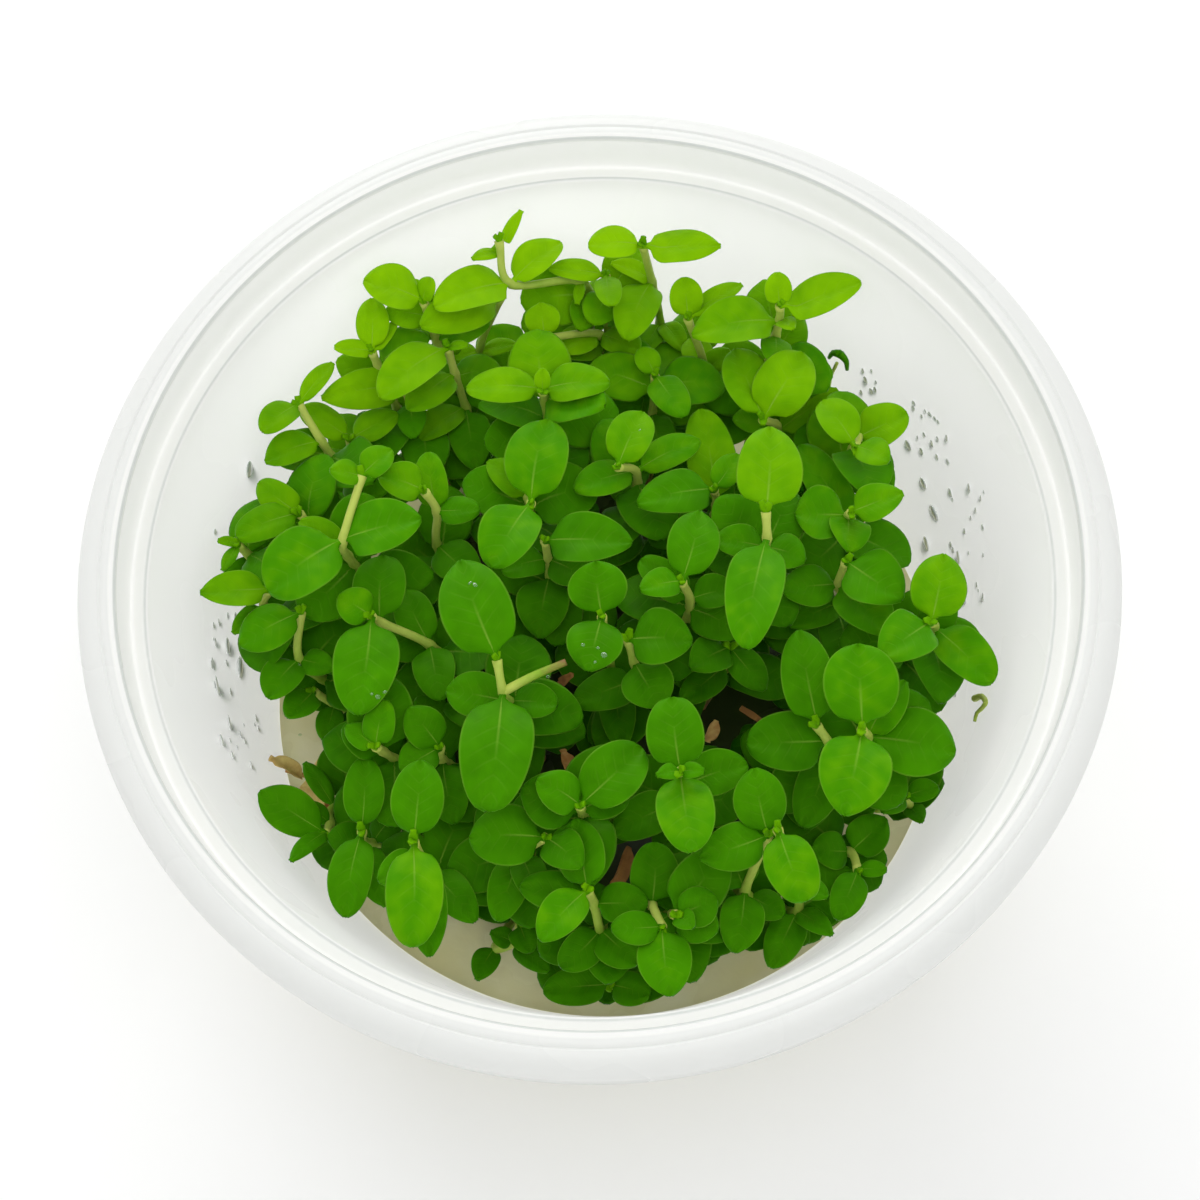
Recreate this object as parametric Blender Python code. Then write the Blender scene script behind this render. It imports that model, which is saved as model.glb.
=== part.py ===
"""Creeping jenny shoots growing from nutrient gel in a translucent cup.

Metres, +Z up. The origin is the centre of the cup's underside, and the front of the cup faces -Y.
"""

import math

import bpy
from mathutils import Matrix, Vector
from mathutils.bvhtree import BVHTree

MM = 0.001

# Cup
CUP_HEIGHT = 60.0 * MM
LIP_RADIUS = 50.0 * MM
COLLAR_RADIUS = 45.9 * MM
COLLAR_DRAFT = 0.15 * MM
LEDGE_DEPTH = 4.85 * MM
LEDGE_WIDTH = 1.6 * MM
LEDGE_CHAMFER = 0.3 * MM
WALL_THICKNESS = 0.9 * MM
WALL_DRAFT = 0.158
FLOOR_THICKNESS = 1.2 * MM
FOOT_HEIGHT = 0.8 * MM
FOOT_WIDTH = 2.6 * MM
FLOOR_FILLET = 1.2 * MM
SKIRT_DEPTH = 4.4 * MM
LIP_THICKNESS = 2.2 * MM
LIP_UNDERCUT = 2.4 * MM
SKIRT_FILLET = 0.4 * MM
# The rolled lip's outer curve, as (in from the outside, below the top) from the skirt up
LIP_CURVE = ((0.0, 2.1 * MM), (0.4 * MM, 1.1 * MM), (1.2 * MM, 0.4 * MM), (2.5 * MM, 0.08 * MM))
ROUND_SEGMENTS = 36

# Gel
GEL_TOP = 17.9 * MM
GAP = 0.3 * MM

# Shoots
FOLIAGE_TOP = 53.2 * MM
STEM_RADIUS = 0.55 * MM
STEM_TIP_RADIUS = 0.38 * MM
STEM_STEP = 9.0 * MM
NODE_HEIGHT = 1.1 * MM
PETIOLE_SHARE = 0.1
PETIOLE_RADIUS = 0.32 * MM
PETIOLE_START = 1.1 * MM
LEAF_THICKNESS = 0.5 * MM
LEAF_FOLD = 0.16
LEAF_ARCH = 0.07
LEAF_WIDEST = 0.85
LEAF_FULLNESS = 0.52
LEAF_SECTIONS = (0.2, 0.5, 0.84)
SMALL_LEAF_SECTIONS = (0.28, 0.76)
SMALL_LEAF_WIDTH = 4.8 * MM
TIP_RISES = (1.0 * MM, 2.2 * MM, 0.3 * MM, 1.6 * MM)
FOOT_PULL = 0.82

# The view from above and in front, in which the leaves' places are given
VIEW_DISTANCE = 176.0 * MM
VIEW_LEAN = math.radians(23.65)
VIEW_TILT = math.radians(21.81)
VIEW_ROLL = math.radians(4.5)
VIEW_FOCAL_PIXELS = 1847.0
VIEW_MIDDLE_PIXEL = 600.0
LEAST_RISE = 2.0 * MM
WALL_CLEARANCE = 1.0 * MM
RISE_STEP = 0.5 * MM

# Each shoot is its nodes from the top down: (x, y) pixel in the view, rise above the gel in mm, then
# each leaf as (tip x, tip y, width), in pixels of the view.
SHOOTS = (
    (
        ((499, 241), 35, (521, 210, 14), (473, 258, 16)),
        ((511, 284), 31, (561, 242, 38), (434, 306, 50)),
        ((582, 282), 28, (577, 304, 12)),
    ),
    (((424, 302), 31, (363, 281, 50), (431, 278, 24)),),
    (((500, 299), 27, (421, 326, 50)), ((480, 352), 18, (518, 345, 20), (455, 360, 24))),
    (((372, 352), 29, (372, 298, 34), (334, 348, 21), (398, 320, 15)),),
    (
        ((448, 348), 28, (380, 396, 50), (468, 345, 12)),
        ((455, 374), 24, (408, 411, 42)),
        ((466, 408), 17, (420, 440, 34), (476, 468, 44)),
    ),
    (((299, 405), 27, (333, 363, 22), (262, 432, 34)), ((322, 442), 24, (265, 462, 38))),
    (((404, 388), 24, (322, 398, 42)),),
    (((350, 440), 22, (300, 408, 36), (398, 414, 34)), ((353, 451), 19, (316, 460, 24))),
    (
        ((643, 246), 34, (588, 246, 38), (721, 246, 40)),
        ((652, 282), 27, (626, 340, 46), (612, 262, 22)),
        ((660, 324), 18, (640, 354, 26), (684, 350, 24)),
    ),
    (((688, 319), 29, (684, 277, 34), (742, 284, 22)), ((705, 372), 20, (690, 338, 32), (730, 350, 28))),
    (((780, 306), 33, (777, 272, 28), (867, 279, 48)), ((779, 322), 30, (692, 334, 54), (793, 328, 20))),
    (
        ((763, 420), 27, (735, 350, 48), (803, 352, 60)),
        ((775, 424), 21, (733, 418, 30)),
        ((777, 432), 18, (838, 390, 34)),
    ),
    (((545, 338), 27, (541, 303, 36)), ((600, 335), 22, (556, 350, 34), (640, 350, 34))),
    (((543, 390), 30, (466, 387, 40), (609, 381, 43)), ((543, 392), 33, (543, 368, 17))),
    (((531, 504), 30, (548, 418, 64), (492, 566, 60)), ((528, 498), 26, (488, 460, 34))),
    (
        ((545, 541), 28, (631, 541, 56)),
        ((548, 560), 23, (502, 570, 36), (590, 580, 44)),
        ((550, 576), 19, (540, 638, 54)),
    ),
    (((618, 467), 30, (643, 412, 46)), ((636, 472), 26, (575, 489, 40), (700, 440, 36))),
    (((655, 376), 25, (685, 416, 38), (640, 348, 26)),),
    (((714, 490), 27, (638, 502, 50), (738, 455, 30)), ((716, 506), 22, (700, 410, 50))),
    (((682, 582), 31, (700, 511, 52), (640, 590, 34)), ((690, 600), 25, (640, 560, 38), (735, 590, 38))),
    (((602, 617), 32, (596, 561, 60), (588, 672, 58)), ((613, 680), 14, (622, 752, 38))),
    (((628, 640), 27, (692, 640, 62)), ((634, 662), 24, (662, 708, 54)), ((638, 680), 19, (574, 702, 44))),
    (((730, 648), 21, (690, 668, 44), (765, 690, 36)), ((728, 664), 16, (680, 704, 36))),
    (
        ((497, 660), 33, (460, 560, 72)),
        ((503, 692), 31, (489, 813, 76), (566, 662, 9)),
        ((510, 702), 26, (558, 706, 38), (446, 690, 50)),
    ),
    (
        ((425, 492), 30, (378, 476, 42)),
        ((437, 512), 27, (480, 510, 32), (428, 452, 34)),
        ((437, 545), 19, (478, 580, 46)),
    ),
    (
        ((362, 476), 33, (330, 470, 28), (392, 450, 34)),
        ((343, 540), 31, (268, 592, 76), (422, 520, 60)),
        ((348, 556), 26, (300, 520, 32)),
    ),
    (
        ((372, 617), 28, (358, 716, 68), (338, 596, 40)),
        ((380, 622), 26, (384, 556, 54)),
        ((430, 645), 22, (405, 590, 40), (440, 700, 44)),
    ),
    (((238, 545), 26, (218, 541, 12), (223, 571, 14)),),
    (((300, 514), 25, (236, 536, 40), (258, 482, 34)),),
    (((270, 590), 26, (200, 592, 40)), ((264, 606), 22, (233, 634, 24))),
    (((301, 613), 26, (240, 646, 50)), ((300, 660), 21, (268, 699, 42), (335, 668, 30))),
    (((314, 692), 17, (287, 718, 36)), ((335, 704), 13, (324, 741, 28))),
    (
        ((362, 832), 22, (365, 756, 42), (345, 917, 46)),
        ((365, 842), 18, (386, 906, 36)),
    ),
    (
        ((414, 842), 29, (421, 760, 54), (413, 947, 60)),
        ((424, 862), 24, (430, 957, 42), (378, 880, 40)),
        ((430, 872), 19, (475, 921, 40)),
    ),
    (
        ((326, 834), 16, (259, 792, 46), (291, 861, 22)),
        ((330, 824), 13, (304, 803, 20)),
        ((335, 808), 9, (304, 762, 20)),
    ),
    (((440, 748), 24, (408, 708, 42), (400, 770, 40)), ((443, 760), 19, (455, 824, 46))),
    (((545, 838), 27, (469, 838, 64), (582, 868, 44)), ((520, 855), 20, (498, 922, 42), (540, 905, 36))),
    (((580, 806), 30, (642, 747, 60), (536, 780, 44)),),
    (
        ((588, 890), 27, (576, 819, 50), (540, 940, 44)),
        ((594, 904), 23, (520, 886, 42), (648, 902, 42)),
        ((600, 930), 19, (638, 965, 46), (560, 968, 40)),
    ),
    (
        ((680, 772), 33, (657, 775, 18), (704, 771, 18)),
        ((680, 772), 31, (672, 697, 58), (692, 854, 60)),
        ((684, 786), 26, (748, 765, 48)),
        ((684, 802), 20, (614, 834, 46)),
    ),
    (((652, 905), 22, (655, 842, 50)), ((662, 927), 25, (612, 928, 36), (670, 997, 56))),
    (((676, 915), 27, (717, 898, 42), (694, 928, 24)),),
    (((611, 985), 11, (543, 991, 40), (650, 995, 36)),),
    (
        ((520, 925), 13, (530, 953, 30)),
        ((514, 942), 10, (490, 932, 22), (549, 972, 26)),
        ((496, 947), 8, (477, 980, 28)),
    ),
    (
        ((768, 836), 29, (754, 768, 54), (700, 858, 50)),
        ((745, 890), 22, (735, 953, 46), (730, 850, 44)),
        ((748, 896), 18, (784, 916, 32)),
    ),
    (
        ((778, 830), 31, (806, 901, 54)),
        ((797, 884), 21, (828, 897, 24)),
        ((797, 912), 17, (771, 967, 40), (832, 935, 26)),
    ),
    (((862, 730), 32, (858, 644, 76), (844, 817, 74)), ((868, 738), 27, (956, 752, 74), (905, 680, 46))),
    (((858, 870), 20, (837, 919, 36), (887, 870, 18)), ((850, 852), 17, (886, 818, 42), (812, 850, 40))),
    (((905, 797), 17, (939, 788, 24), (882, 812, 24)), ((908, 806), 13, (922, 822, 22))),
    (((817, 726), 29, (799, 630, 54)), ((828, 742), 27, (747, 742, 64)), ((829, 756), 22, (802, 827, 48))),
    (
        ((766, 512), 34, (770, 428, 66)),
        ((767, 538), 32, (745, 650, 60)),
        ((765, 548), 27, (716, 541, 38), (805, 560, 40)),
    ),
    (((855, 447), 30, (822, 400, 40), (889, 462, 34)), ((858, 438), 27, (908, 414, 48))),
    (
        ((851, 513), 31, (903, 492, 40)),
        ((848, 516), 27, (795, 515, 60), (850, 552, 44)),
        ((850, 524), 22, (800, 445, 42)),
    ),
    (
        ((846, 562), 28, (903, 599, 64)),
        ((838, 585), 23, (888, 633, 54), (782, 590, 46)),
        ((843, 602), 18, (790, 625, 34)),
    ),
    (((931, 623), 30, (944, 554, 56), (880, 660, 56)), ((934, 628), 26, (993, 683, 50))),
    (((606, 276), 29, (549, 268, 26), (612, 307, 28)),),
    (((376, 747), 26, (385, 700, 34), (346, 726, 26)),),
)

SMOOTH_ANGLE = math.radians(35)
LIFTS = (0, 1, -1, 2, -2, 3, -3, 4, -4, 5, -5, 6, -6, 8, -8)
LIFT_STEP = 0.6 * MM
SHRINKS = (1.0, 0.93, 0.86, 0.78)
ROLLS = (0, 14, -14, 28, -28)
STEM_SHIFTS = (0.0, 1.6 * MM, 3.0 * MM)
SHIFT_TURNS = 8


def clear_scene():
    for thing in list(bpy.data.objects):
        bpy.data.objects.remove(thing)


def material(name, colour, roughness, alpha=1.0):
    finish = bpy.data.materials.new(name)
    finish.use_nodes = True
    shader = finish.node_tree.nodes["Principled BSDF"]
    shader.inputs["Base Color"].default_value = (*colour, 1.0)
    shader.inputs["Roughness"].default_value = roughness
    shader.inputs["Metallic"].default_value = 0.0
    shader.inputs["Alpha"].default_value = alpha
    return finish


def object_of(name, verts, faces, finish):
    mesh = bpy.data.meshes.new(name)
    mesh.from_pydata([tuple(v) for v in verts], [], faces)
    mesh.materials.append(finish)
    mesh.shade_smooth()
    mesh.set_sharp_from_angle(angle=SMOOTH_ANGLE)
    thing = bpy.data.objects.new(name, mesh)
    bpy.context.scene.collection.objects.link(thing)
    return thing


def turned(profile, segments):
    """Vertices and faces of a solid of revolution. The profile runs from axis to axis, inside on its left."""
    verts, rings, faces = [], [], []
    for radius, height in profile:
        if radius == 0:
            rings.append([len(verts)] * segments)
            verts.append(Vector((0, 0, height)))
            continue
        rings.append(list(range(len(verts), len(verts) + segments)))
        for i in range(segments):
            turn = math.tau * i / segments
            verts.append(Vector((radius * math.cos(turn), radius * math.sin(turn), height)))
    for lower, upper in zip(rings, rings[1:]):
        for i in range(segments):
            j = (i + 1) % segments
            face = [lower[i], lower[j], upper[j], upper[i]]
            faces.append(list(dict.fromkeys(face)))
    return verts, faces


# Cup


def inner_radius(height):
    """The tapering wall's inner radius at a height above the underside."""
    ledge_inner = COLLAR_RADIUS - LEDGE_WIDTH - LEDGE_CHAMFER
    return ledge_inner - WALL_DRAFT * (CUP_HEIGHT - LEDGE_DEPTH - LEDGE_CHAMFER - height)


def lip_profile():
    """The rolled lip, from the collar's outer side over the skirt to the top inner edge."""
    skirt_bottom = CUP_HEIGHT - SKIRT_DEPTH
    return [
        (COLLAR_RADIUS + WALL_THICKNESS, CUP_HEIGHT - LIP_THICKNESS),
        (LIP_RADIUS - WALL_THICKNESS - SKIRT_FILLET, CUP_HEIGHT - LIP_UNDERCUT),
        (LIP_RADIUS - WALL_THICKNESS, skirt_bottom),
        (LIP_RADIUS, skirt_bottom),
        *((LIP_RADIUS - inward, CUP_HEIGHT - depth) for inward, depth in LIP_CURVE),
        (COLLAR_RADIUS, CUP_HEIGHT),
    ]


def make_cup(finish):
    floor_top = FOOT_HEIGHT + FLOOR_THICKNESS
    ledge = CUP_HEIGHT - LEDGE_DEPTH
    ledge_inner = COLLAR_RADIUS - LEDGE_WIDTH
    foot_outer = inner_radius(floor_top)
    wall_top = ledge - WALL_THICKNESS
    profile = [
        (0, FOOT_HEIGHT),
        (foot_outer - FOOT_WIDTH - FOOT_HEIGHT / 2, FOOT_HEIGHT),
        (foot_outer - FOOT_WIDTH, 0),
        (foot_outer, 0),
        (inner_radius(WALL_THICKNESS) + WALL_THICKNESS, WALL_THICKNESS),
        (inner_radius(wall_top) + WALL_THICKNESS, wall_top),
        (COLLAR_RADIUS + WALL_THICKNESS, wall_top),
        *lip_profile(),
        (COLLAR_RADIUS - COLLAR_DRAFT, ledge),
        (ledge_inner, ledge),
        (ledge_inner - LEDGE_CHAMFER, ledge - LEDGE_CHAMFER),
        (inner_radius(floor_top + FLOOR_FILLET), floor_top + FLOOR_FILLET),
        (inner_radius(floor_top) - FLOOR_FILLET, floor_top),
        (0, floor_top),
    ]
    verts, faces = turned(profile, ROUND_SEGMENTS)
    return object_of("cup", verts, faces, finish)


# Gel


def make_gel(finish):
    bottom = FOOT_HEIGHT + FLOOR_THICKNESS + GAP
    corner = bottom + FLOOR_FILLET
    profile = [
        (0, bottom),
        (inner_radius(bottom) - FLOOR_FILLET - GAP, bottom),
        (inner_radius(corner) - GAP, corner),
        (inner_radius(GEL_TOP) - GAP, GEL_TOP),
        (0, GEL_TOP),
    ]
    verts, faces = turned(profile, ROUND_SEGMENTS)
    return object_of("nutrient_gel", verts, faces, finish)


# Places in the view


def view_eye():
    toward = Vector((0, -math.sin(VIEW_LEAN), math.cos(VIEW_LEAN)))
    return Vector((0, 0, CUP_HEIGHT)) + toward * VIEW_DISTANCE


def view_ahead():
    return Vector((0, math.sin(VIEW_TILT), -math.cos(VIEW_TILT)))


def size_in_view(pixels, point):
    """The real size of a length in pixels at a point."""
    return pixels * (point - view_eye()).dot(view_ahead()) / VIEW_FOCAL_PIXELS


def in_view(x, y, rise):
    """The point on a pixel's ray at a rise above the gel, raised until it is inside the wall."""
    dx = x - VIEW_MIDDLE_PIXEL
    dy = y - VIEW_MIDDLE_PIXEL
    across = (dx * math.cos(VIEW_ROLL) - dy * math.sin(VIEW_ROLL)) / VIEW_FOCAL_PIXELS
    down = (dx * math.sin(VIEW_ROLL) + dy * math.cos(VIEW_ROLL)) / VIEW_FOCAL_PIXELS
    upward = Vector((0, math.cos(VIEW_TILT), math.sin(VIEW_TILT)))
    ray = view_ahead() + across * Vector((1, 0, 0)) - down * upward
    eye = view_eye()
    height = GEL_TOP + max(rise, LEAST_RISE)
    while True:
        point = eye + ray * ((height - eye.z) / ray.z)
        if point.xy.length < inner_radius(height) - WALL_CLEARANCE or height > FOLIAGE_TOP:
            return point
        height += RISE_STEP


# Leaves


def leaf_frame(base, tip, roll):
    """The leaf's length direction, its sideways direction and the direction that its upper face looks in."""
    along = (tip - base).normalized()
    side = along.cross(Vector((0, 0, 1))).normalized()
    side = Matrix.Rotation(roll, 3, along) @ side
    return along, side, side.cross(along)


def leaf_half_width(share, width):
    """Half the leaf's width at a share of its length from the stem."""
    blade = max(share - PETIOLE_SHARE, 0) / (1 - PETIOLE_SHARE)
    return max(width / 2 * math.sin(math.pi * blade**LEAF_WIDEST) ** LEAF_FULLNESS, PETIOLE_RADIUS)


def leaf_sections(base, tip, width, roll, margin=0.0):
    """The blade's diamond sections, each as right edge, underside, left edge and upper side, and its tip."""
    along, side, upper = leaf_frame(base, tip, roll)
    length = (tip - base).length
    sections = []
    for share in LEAF_SECTIONS if width > SMALL_LEAF_WIDTH else SMALL_LEAF_SECTIONS:
        half = leaf_half_width(share, width) + margin
        arch = upper * length * LEAF_ARCH * 4 * share * (1 - share)
        middle = base + along * length * share + arch
        right = middle + side * half + upper * LEAF_FOLD * half
        left = middle - side * half + upper * LEAF_FOLD * half
        thick = upper * (LEAF_THICKNESS / 2 + margin)
        sections.append((right, middle - thick, left, middle + thick))
    return sections, tip + along * margin


def petiole_foot(node, base, tip, margin):
    """A small diamond section just outside the stem, where the petiole leaves it."""
    along, side, upper = leaf_frame(base, tip, 0)
    middle = node + along * PETIOLE_START
    across = side * (PETIOLE_RADIUS + margin)
    thick = upper * (PETIOLE_RADIUS + margin)
    return (middle + across, middle - thick, middle - across, middle + thick)


def closed_leaf(sections, tip):
    """Vertices and faces of a solid through four-cornered sections, from a flat start to a pointed tip."""
    verts = [corner for section in sections for corner in section] + [tip]
    faces = [(3, 2, 1, 0)]
    faces += leaf_faces([tuple(range(k, k + 4)) for k in range(0, len(verts) - 1, 4)], len(verts) - 1)
    return verts, faces


def leaf_faces(sections, tip):
    """The faces between sections given by the numbers of their corners, and those that close on the tip."""
    faces = []
    for lower, upper in zip(sections, sections[1:]):
        for i in range(4):
            j = (i + 1) % 4
            faces.append((lower[i], lower[j], upper[j], upper[i]))
    for i in range(4):
        faces.append((sections[-1][i], sections[-1][(i + 1) % 4], tip))
    return faces


# Stems


def smooth_path(points, step):
    """Points about a step apart on a smooth curve through the given points."""
    ends = [points[0] * 2 - points[1], *points, points[-1] * 2 - points[-2]]
    path = [points[0]]
    for a, b, c, d in zip(ends, ends[1:], ends[2:], ends[3:]):
        count = max(1, round((c - b).length / step))
        for k in range(1, count + 1):
            t = k / count
            bend = (c - a) * t + (a * 2 - b * 5 + c * 4 - d) * t**2 + (b * 3 - a - c * 3 + d) * t**3
            path.append(b + bend / 2)
    return path


def heading_of(ahead, direction):
    """The angle round a stem that runs ahead at which a direction leaves it."""
    first, second = round_axes(ahead)
    return math.atan2(direction.dot(second), direction.dot(first))


def round_axes(ahead):
    first = (Vector((1, 0, 0)) - ahead * ahead.x).normalized()
    return first, ahead.cross(first)


def stem_ring(point, ahead, turn, radius):
    """Four corners round a stem, so placed that its first side faces the turn's angle."""
    first, second = round_axes(ahead)
    ring = []
    for i in range(4):
        angle = turn + (i - 0.5) * math.pi / 2
        ring.append(point + (first * math.cos(angle) + second * math.sin(angle)) * radius)
    return ring


def stem_stations(path, nodes):
    """Places along the stem as (point, direction, node number or None), two of them round each node."""
    stations = []
    for k, point in enumerate(path):
        ahead = (path[min(k + 1, len(path) - 1)] - path[max(k - 1, 0)]).normalized()
        number = next((n for n, node in enumerate(nodes) if (node - point).length < NODE_HEIGHT / 2), None)
        if number is None:
            stations.append((point, ahead, None))
            continue
        stations.append((point - ahead * NODE_HEIGHT / 2, ahead, number))
        stations.append((point + ahead * NODE_HEIGHT / 2, ahead, number))
    return stations


def stem_solid(path, margin=0.0):
    """Vertices and faces of a plain closed stem, for testing what is near it."""
    verts, faces = [], [(3, 2, 1, 0)]
    for k, (point, ahead, _) in enumerate(stem_stations(path, [path[-1]])):
        verts += stem_ring(point, ahead, 0.0, STEM_RADIUS + margin)
        for i in range(4 if k else 0):
            j = (i + 1) % 4
            faces.append((4 * k - 4 + i, 4 * k - 4 + j, 4 * k + j, 4 * k + i))
    top = len(verts) - 4
    faces.append((top, top + 1, top + 2, top + 3))
    return verts, faces


# Keeping the shoots clear of each other


class Obstacles:
    """The solids placed so far, each with its box, so that a new one can be tested against them."""

    def __init__(self):
        self.placed = []

    def add(self, verts, faces, owner):
        self.placed.append((*box_of(verts), BVHTree.FromPolygons(verts, faces), owner))

    def free(self, verts, faces, leave_out=()):
        low, high = box_of(verts)
        tree = None
        for other_low, other_high, other_tree, owner in self.placed:
            if owner in leave_out:
                continue
            if any(low[i] > other_high[i] or high[i] < other_low[i] for i in range(3)):
                continue
            tree = tree or BVHTree.FromPolygons(verts, faces)
            if tree.overlap(other_tree):
                return False
        return True


def box_of(verts):
    return tuple(tuple(pick(v[i] for v in verts) for i in range(3)) for pick in (min, max))


def inside_cup(verts):
    """Whether all the points are clear of the wall and the gel, and no higher than the foliage's top."""
    return all(v.xy.length < inner_radius(v.z) - GAP and GEL_TOP + GAP < v.z < FOLIAGE_TOP for v in verts)


def settled_stem(nodes, obstacles):
    """The stem's path up through its nodes, with its foot moved aside until it is clear of the others."""
    points = sorted(nodes, key=lambda p: p.z)
    for shift in STEM_SHIFTS:
        for k in range(SHIFT_TURNS):
            turn = math.tau * k / SHIFT_TURNS
            foot = points[0].xy * FOOT_PULL + Vector((math.cos(turn), math.sin(turn))) * shift
            path = smooth_path([Vector((*foot, GEL_TOP + GAP)), *points], STEM_STEP)
            if obstacles.free(*stem_solid(path, GAP)):
                return path
    raise ValueError(f"no clear place for the stem at {points[-1]}")


def settled_leaf(node, leaf, tip_rise, owner, obstacles):
    """The leaf's base, tip, width and roll, moved a little until it is clear of all else, or None."""
    tip_x, tip_y, pixels = leaf
    stem, own_petiole = ("stem", owner[0]), ("petiole", *owner)
    for shrink in SHRINKS:
        for lift in LIFTS:
            base = node + Vector((0, 0, lift * LIFT_STEP))
            tip = base.lerp(in_view(tip_x, tip_y, base.z - GEL_TOP + tip_rise), shrink)
            width = shrink * size_in_view(pixels, tip)
            for degrees in ROLLS:
                roll = math.radians(degrees)
                sections, end = leaf_sections(base, tip, width, roll, GAP)
                blade = closed_leaf(sections, end)
                if not (inside_cup(blade[0]) and obstacles.free(*blade, (stem, own_petiole))):
                    continue
                if not obstacles.free(*closed_leaf(sections[1:], end), (own_petiole,)):
                    continue
                petiole = closed_leaf([petiole_foot(node, base, tip, GAP), sections[0]], sections[1][3])
                if obstacles.free(*petiole, (stem, own_petiole, ("blade", *owner))):
                    return base, tip, width, roll
    return None


def make_shoots(finish):
    """Each shoot is one stem with its leaves. Stems come first, so that every leaf can avoid them all."""
    obstacles = Obstacles()
    nodes = [[in_view(*place, rise * MM) for place, rise, *_ in rows] for rows in SHOOTS]
    paths = []
    for number, points in enumerate(nodes):
        paths.append(settled_stem(points, obstacles))
        obstacles.add(*stem_solid(paths[-1]), ("stem", number))
    leaves = [[[] for _ in rows] for rows in SHOOTS]
    wanted = [
        (rise, (number, level), leaf)
        for number, rows in enumerate(SHOOTS)
        for level, (_, rise, *grown) in enumerate(rows)
        for leaf in grown
    ]
    wanted.sort(key=lambda row: -row[0])
    for k, (_, owner, leaf) in enumerate(wanted):
        node = nodes[owner[0]][owner[1]]
        settled = settled_leaf(node, leaf, TIP_RISES[k % len(TIP_RISES)], owner, obstacles)
        if settled is None:
            continue
        leaves[owner[0]][owner[1]].append(settled)
        sections, end = leaf_sections(*settled)
        obstacles.add(*closed_leaf(sections, end), ("blade", *owner))
        foot = petiole_foot(node, *settled[:2], 0)
        obstacles.add(*closed_leaf([foot, sections[0]], sections[1][3]), ("petiole", *owner))
    for number, path in enumerate(paths):
        grow_shoot(f"shoot_{number + 1:02d}", path, nodes[number], leaves[number], finish)
    print(sum(len(level) for shoot in leaves for level in shoot), "of", len(wanted), "leaves placed")


def sides_of(ahead, turn, node, leaves):
    """Which of a node's four sides each leaf is drawn out of, as {side: leaf}."""
    sides = {}
    for leaf in leaves:
        heading = heading_of(ahead, leaf[1] - node)
        free = [i for i in range(4) if i not in sides]
        sides[max(free, key=lambda i: math.cos(heading - turn - i * math.pi / 2))] = leaf
    return sides


def grow_shoot(name, path, nodes, leaves, finish):
    """One closed mesh: rings up the stem, and at a node each leaf is drawn out of the side that faces it."""
    stations = stem_stations(path, nodes)
    verts, faces = [], [(3, 2, 1, 0)]
    turn, lower = 0.0, None
    for k, (point, ahead, level) in enumerate(stations):
        coming = next((n for _, _, n in stations[k:] if n is not None), None)
        if coming is not None and leaves[coming]:
            wanted = heading_of(ahead, leaves[coming][0][1] - nodes[coming])
            turn += (wanted - turn + math.pi / 4) % (math.pi / 2) - math.pi / 4
        radius = STEM_RADIUS + (STEM_TIP_RADIUS - STEM_RADIUS) * k / (len(stations) - 1)
        upper = added(verts, stem_ring(point, ahead, turn, radius))
        sides = {}
        if k and level is not None and stations[k - 1][2] == level:
            sides = sides_of(ahead, turn, nodes[level], leaves[level])
        for i in range(4 if k else 0):
            j = (i + 1) % 4
            if i not in sides:
                faces.append((lower[i], lower[j], upper[j], upper[i]))
                continue
            sections, tip = leaf_sections(*sides[i])
            rings = [(upper[i], lower[i], lower[j], upper[j])]
            rings += [added(verts, section) for section in sections]
            faces += leaf_faces(rings, added(verts, [tip])[0])
        lower = upper
    faces.append(lower)
    return object_of(name, verts, faces, finish)


def added(verts, more):
    """Adds points to a list and gives their numbers."""
    verts.extend(more)
    return tuple(range(len(verts) - len(more), len(verts)))


def main():
    clear_scene()
    make_cup(material("cup plastic", (0.86, 0.87, 0.85), 0.3, 0.55))
    make_gel(material("nutrient gel", (0.55, 0.48, 0.34), 0.25))
    make_shoots(material("leaf green", (0.1, 0.26, 0.01), 0.45))


main()
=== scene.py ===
# %% [markdown]
# # Creeping jenny in its cup
#
# The real object is a round plastic cup, part filled with set nutrient gel, from which a dense mat of young
# creeping jenny shoots grows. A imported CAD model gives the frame: where the cup, the gel and each shoot are.
# Here each of them gets its fine form and its finish, in the same place and at the same size.

# %% Load the frame
import math
import random

import bpy
from mathutils import Matrix, Vector
from mathutils.bvhtree import BVHTree


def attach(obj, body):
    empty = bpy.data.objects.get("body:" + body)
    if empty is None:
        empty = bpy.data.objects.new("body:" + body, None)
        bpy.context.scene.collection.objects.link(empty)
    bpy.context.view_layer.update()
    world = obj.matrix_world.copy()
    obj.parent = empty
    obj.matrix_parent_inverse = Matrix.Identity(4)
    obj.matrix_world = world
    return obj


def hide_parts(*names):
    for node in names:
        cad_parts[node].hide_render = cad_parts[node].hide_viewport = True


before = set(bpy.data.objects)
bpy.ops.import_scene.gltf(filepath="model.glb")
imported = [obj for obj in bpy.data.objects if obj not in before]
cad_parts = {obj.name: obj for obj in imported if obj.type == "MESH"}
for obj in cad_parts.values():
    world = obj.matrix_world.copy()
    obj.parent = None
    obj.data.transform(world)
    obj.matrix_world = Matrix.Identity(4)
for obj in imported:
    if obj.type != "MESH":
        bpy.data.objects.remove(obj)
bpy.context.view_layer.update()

# %% [markdown]
# ## Sizes
#
# The cup and the gel are turned about the same axis, so a few radii and heights describe them. They could be
# measured from the loaded meshes, but named sizes read better and can be changed together. They are the sizes
# of the CAD model, in metres.

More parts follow.
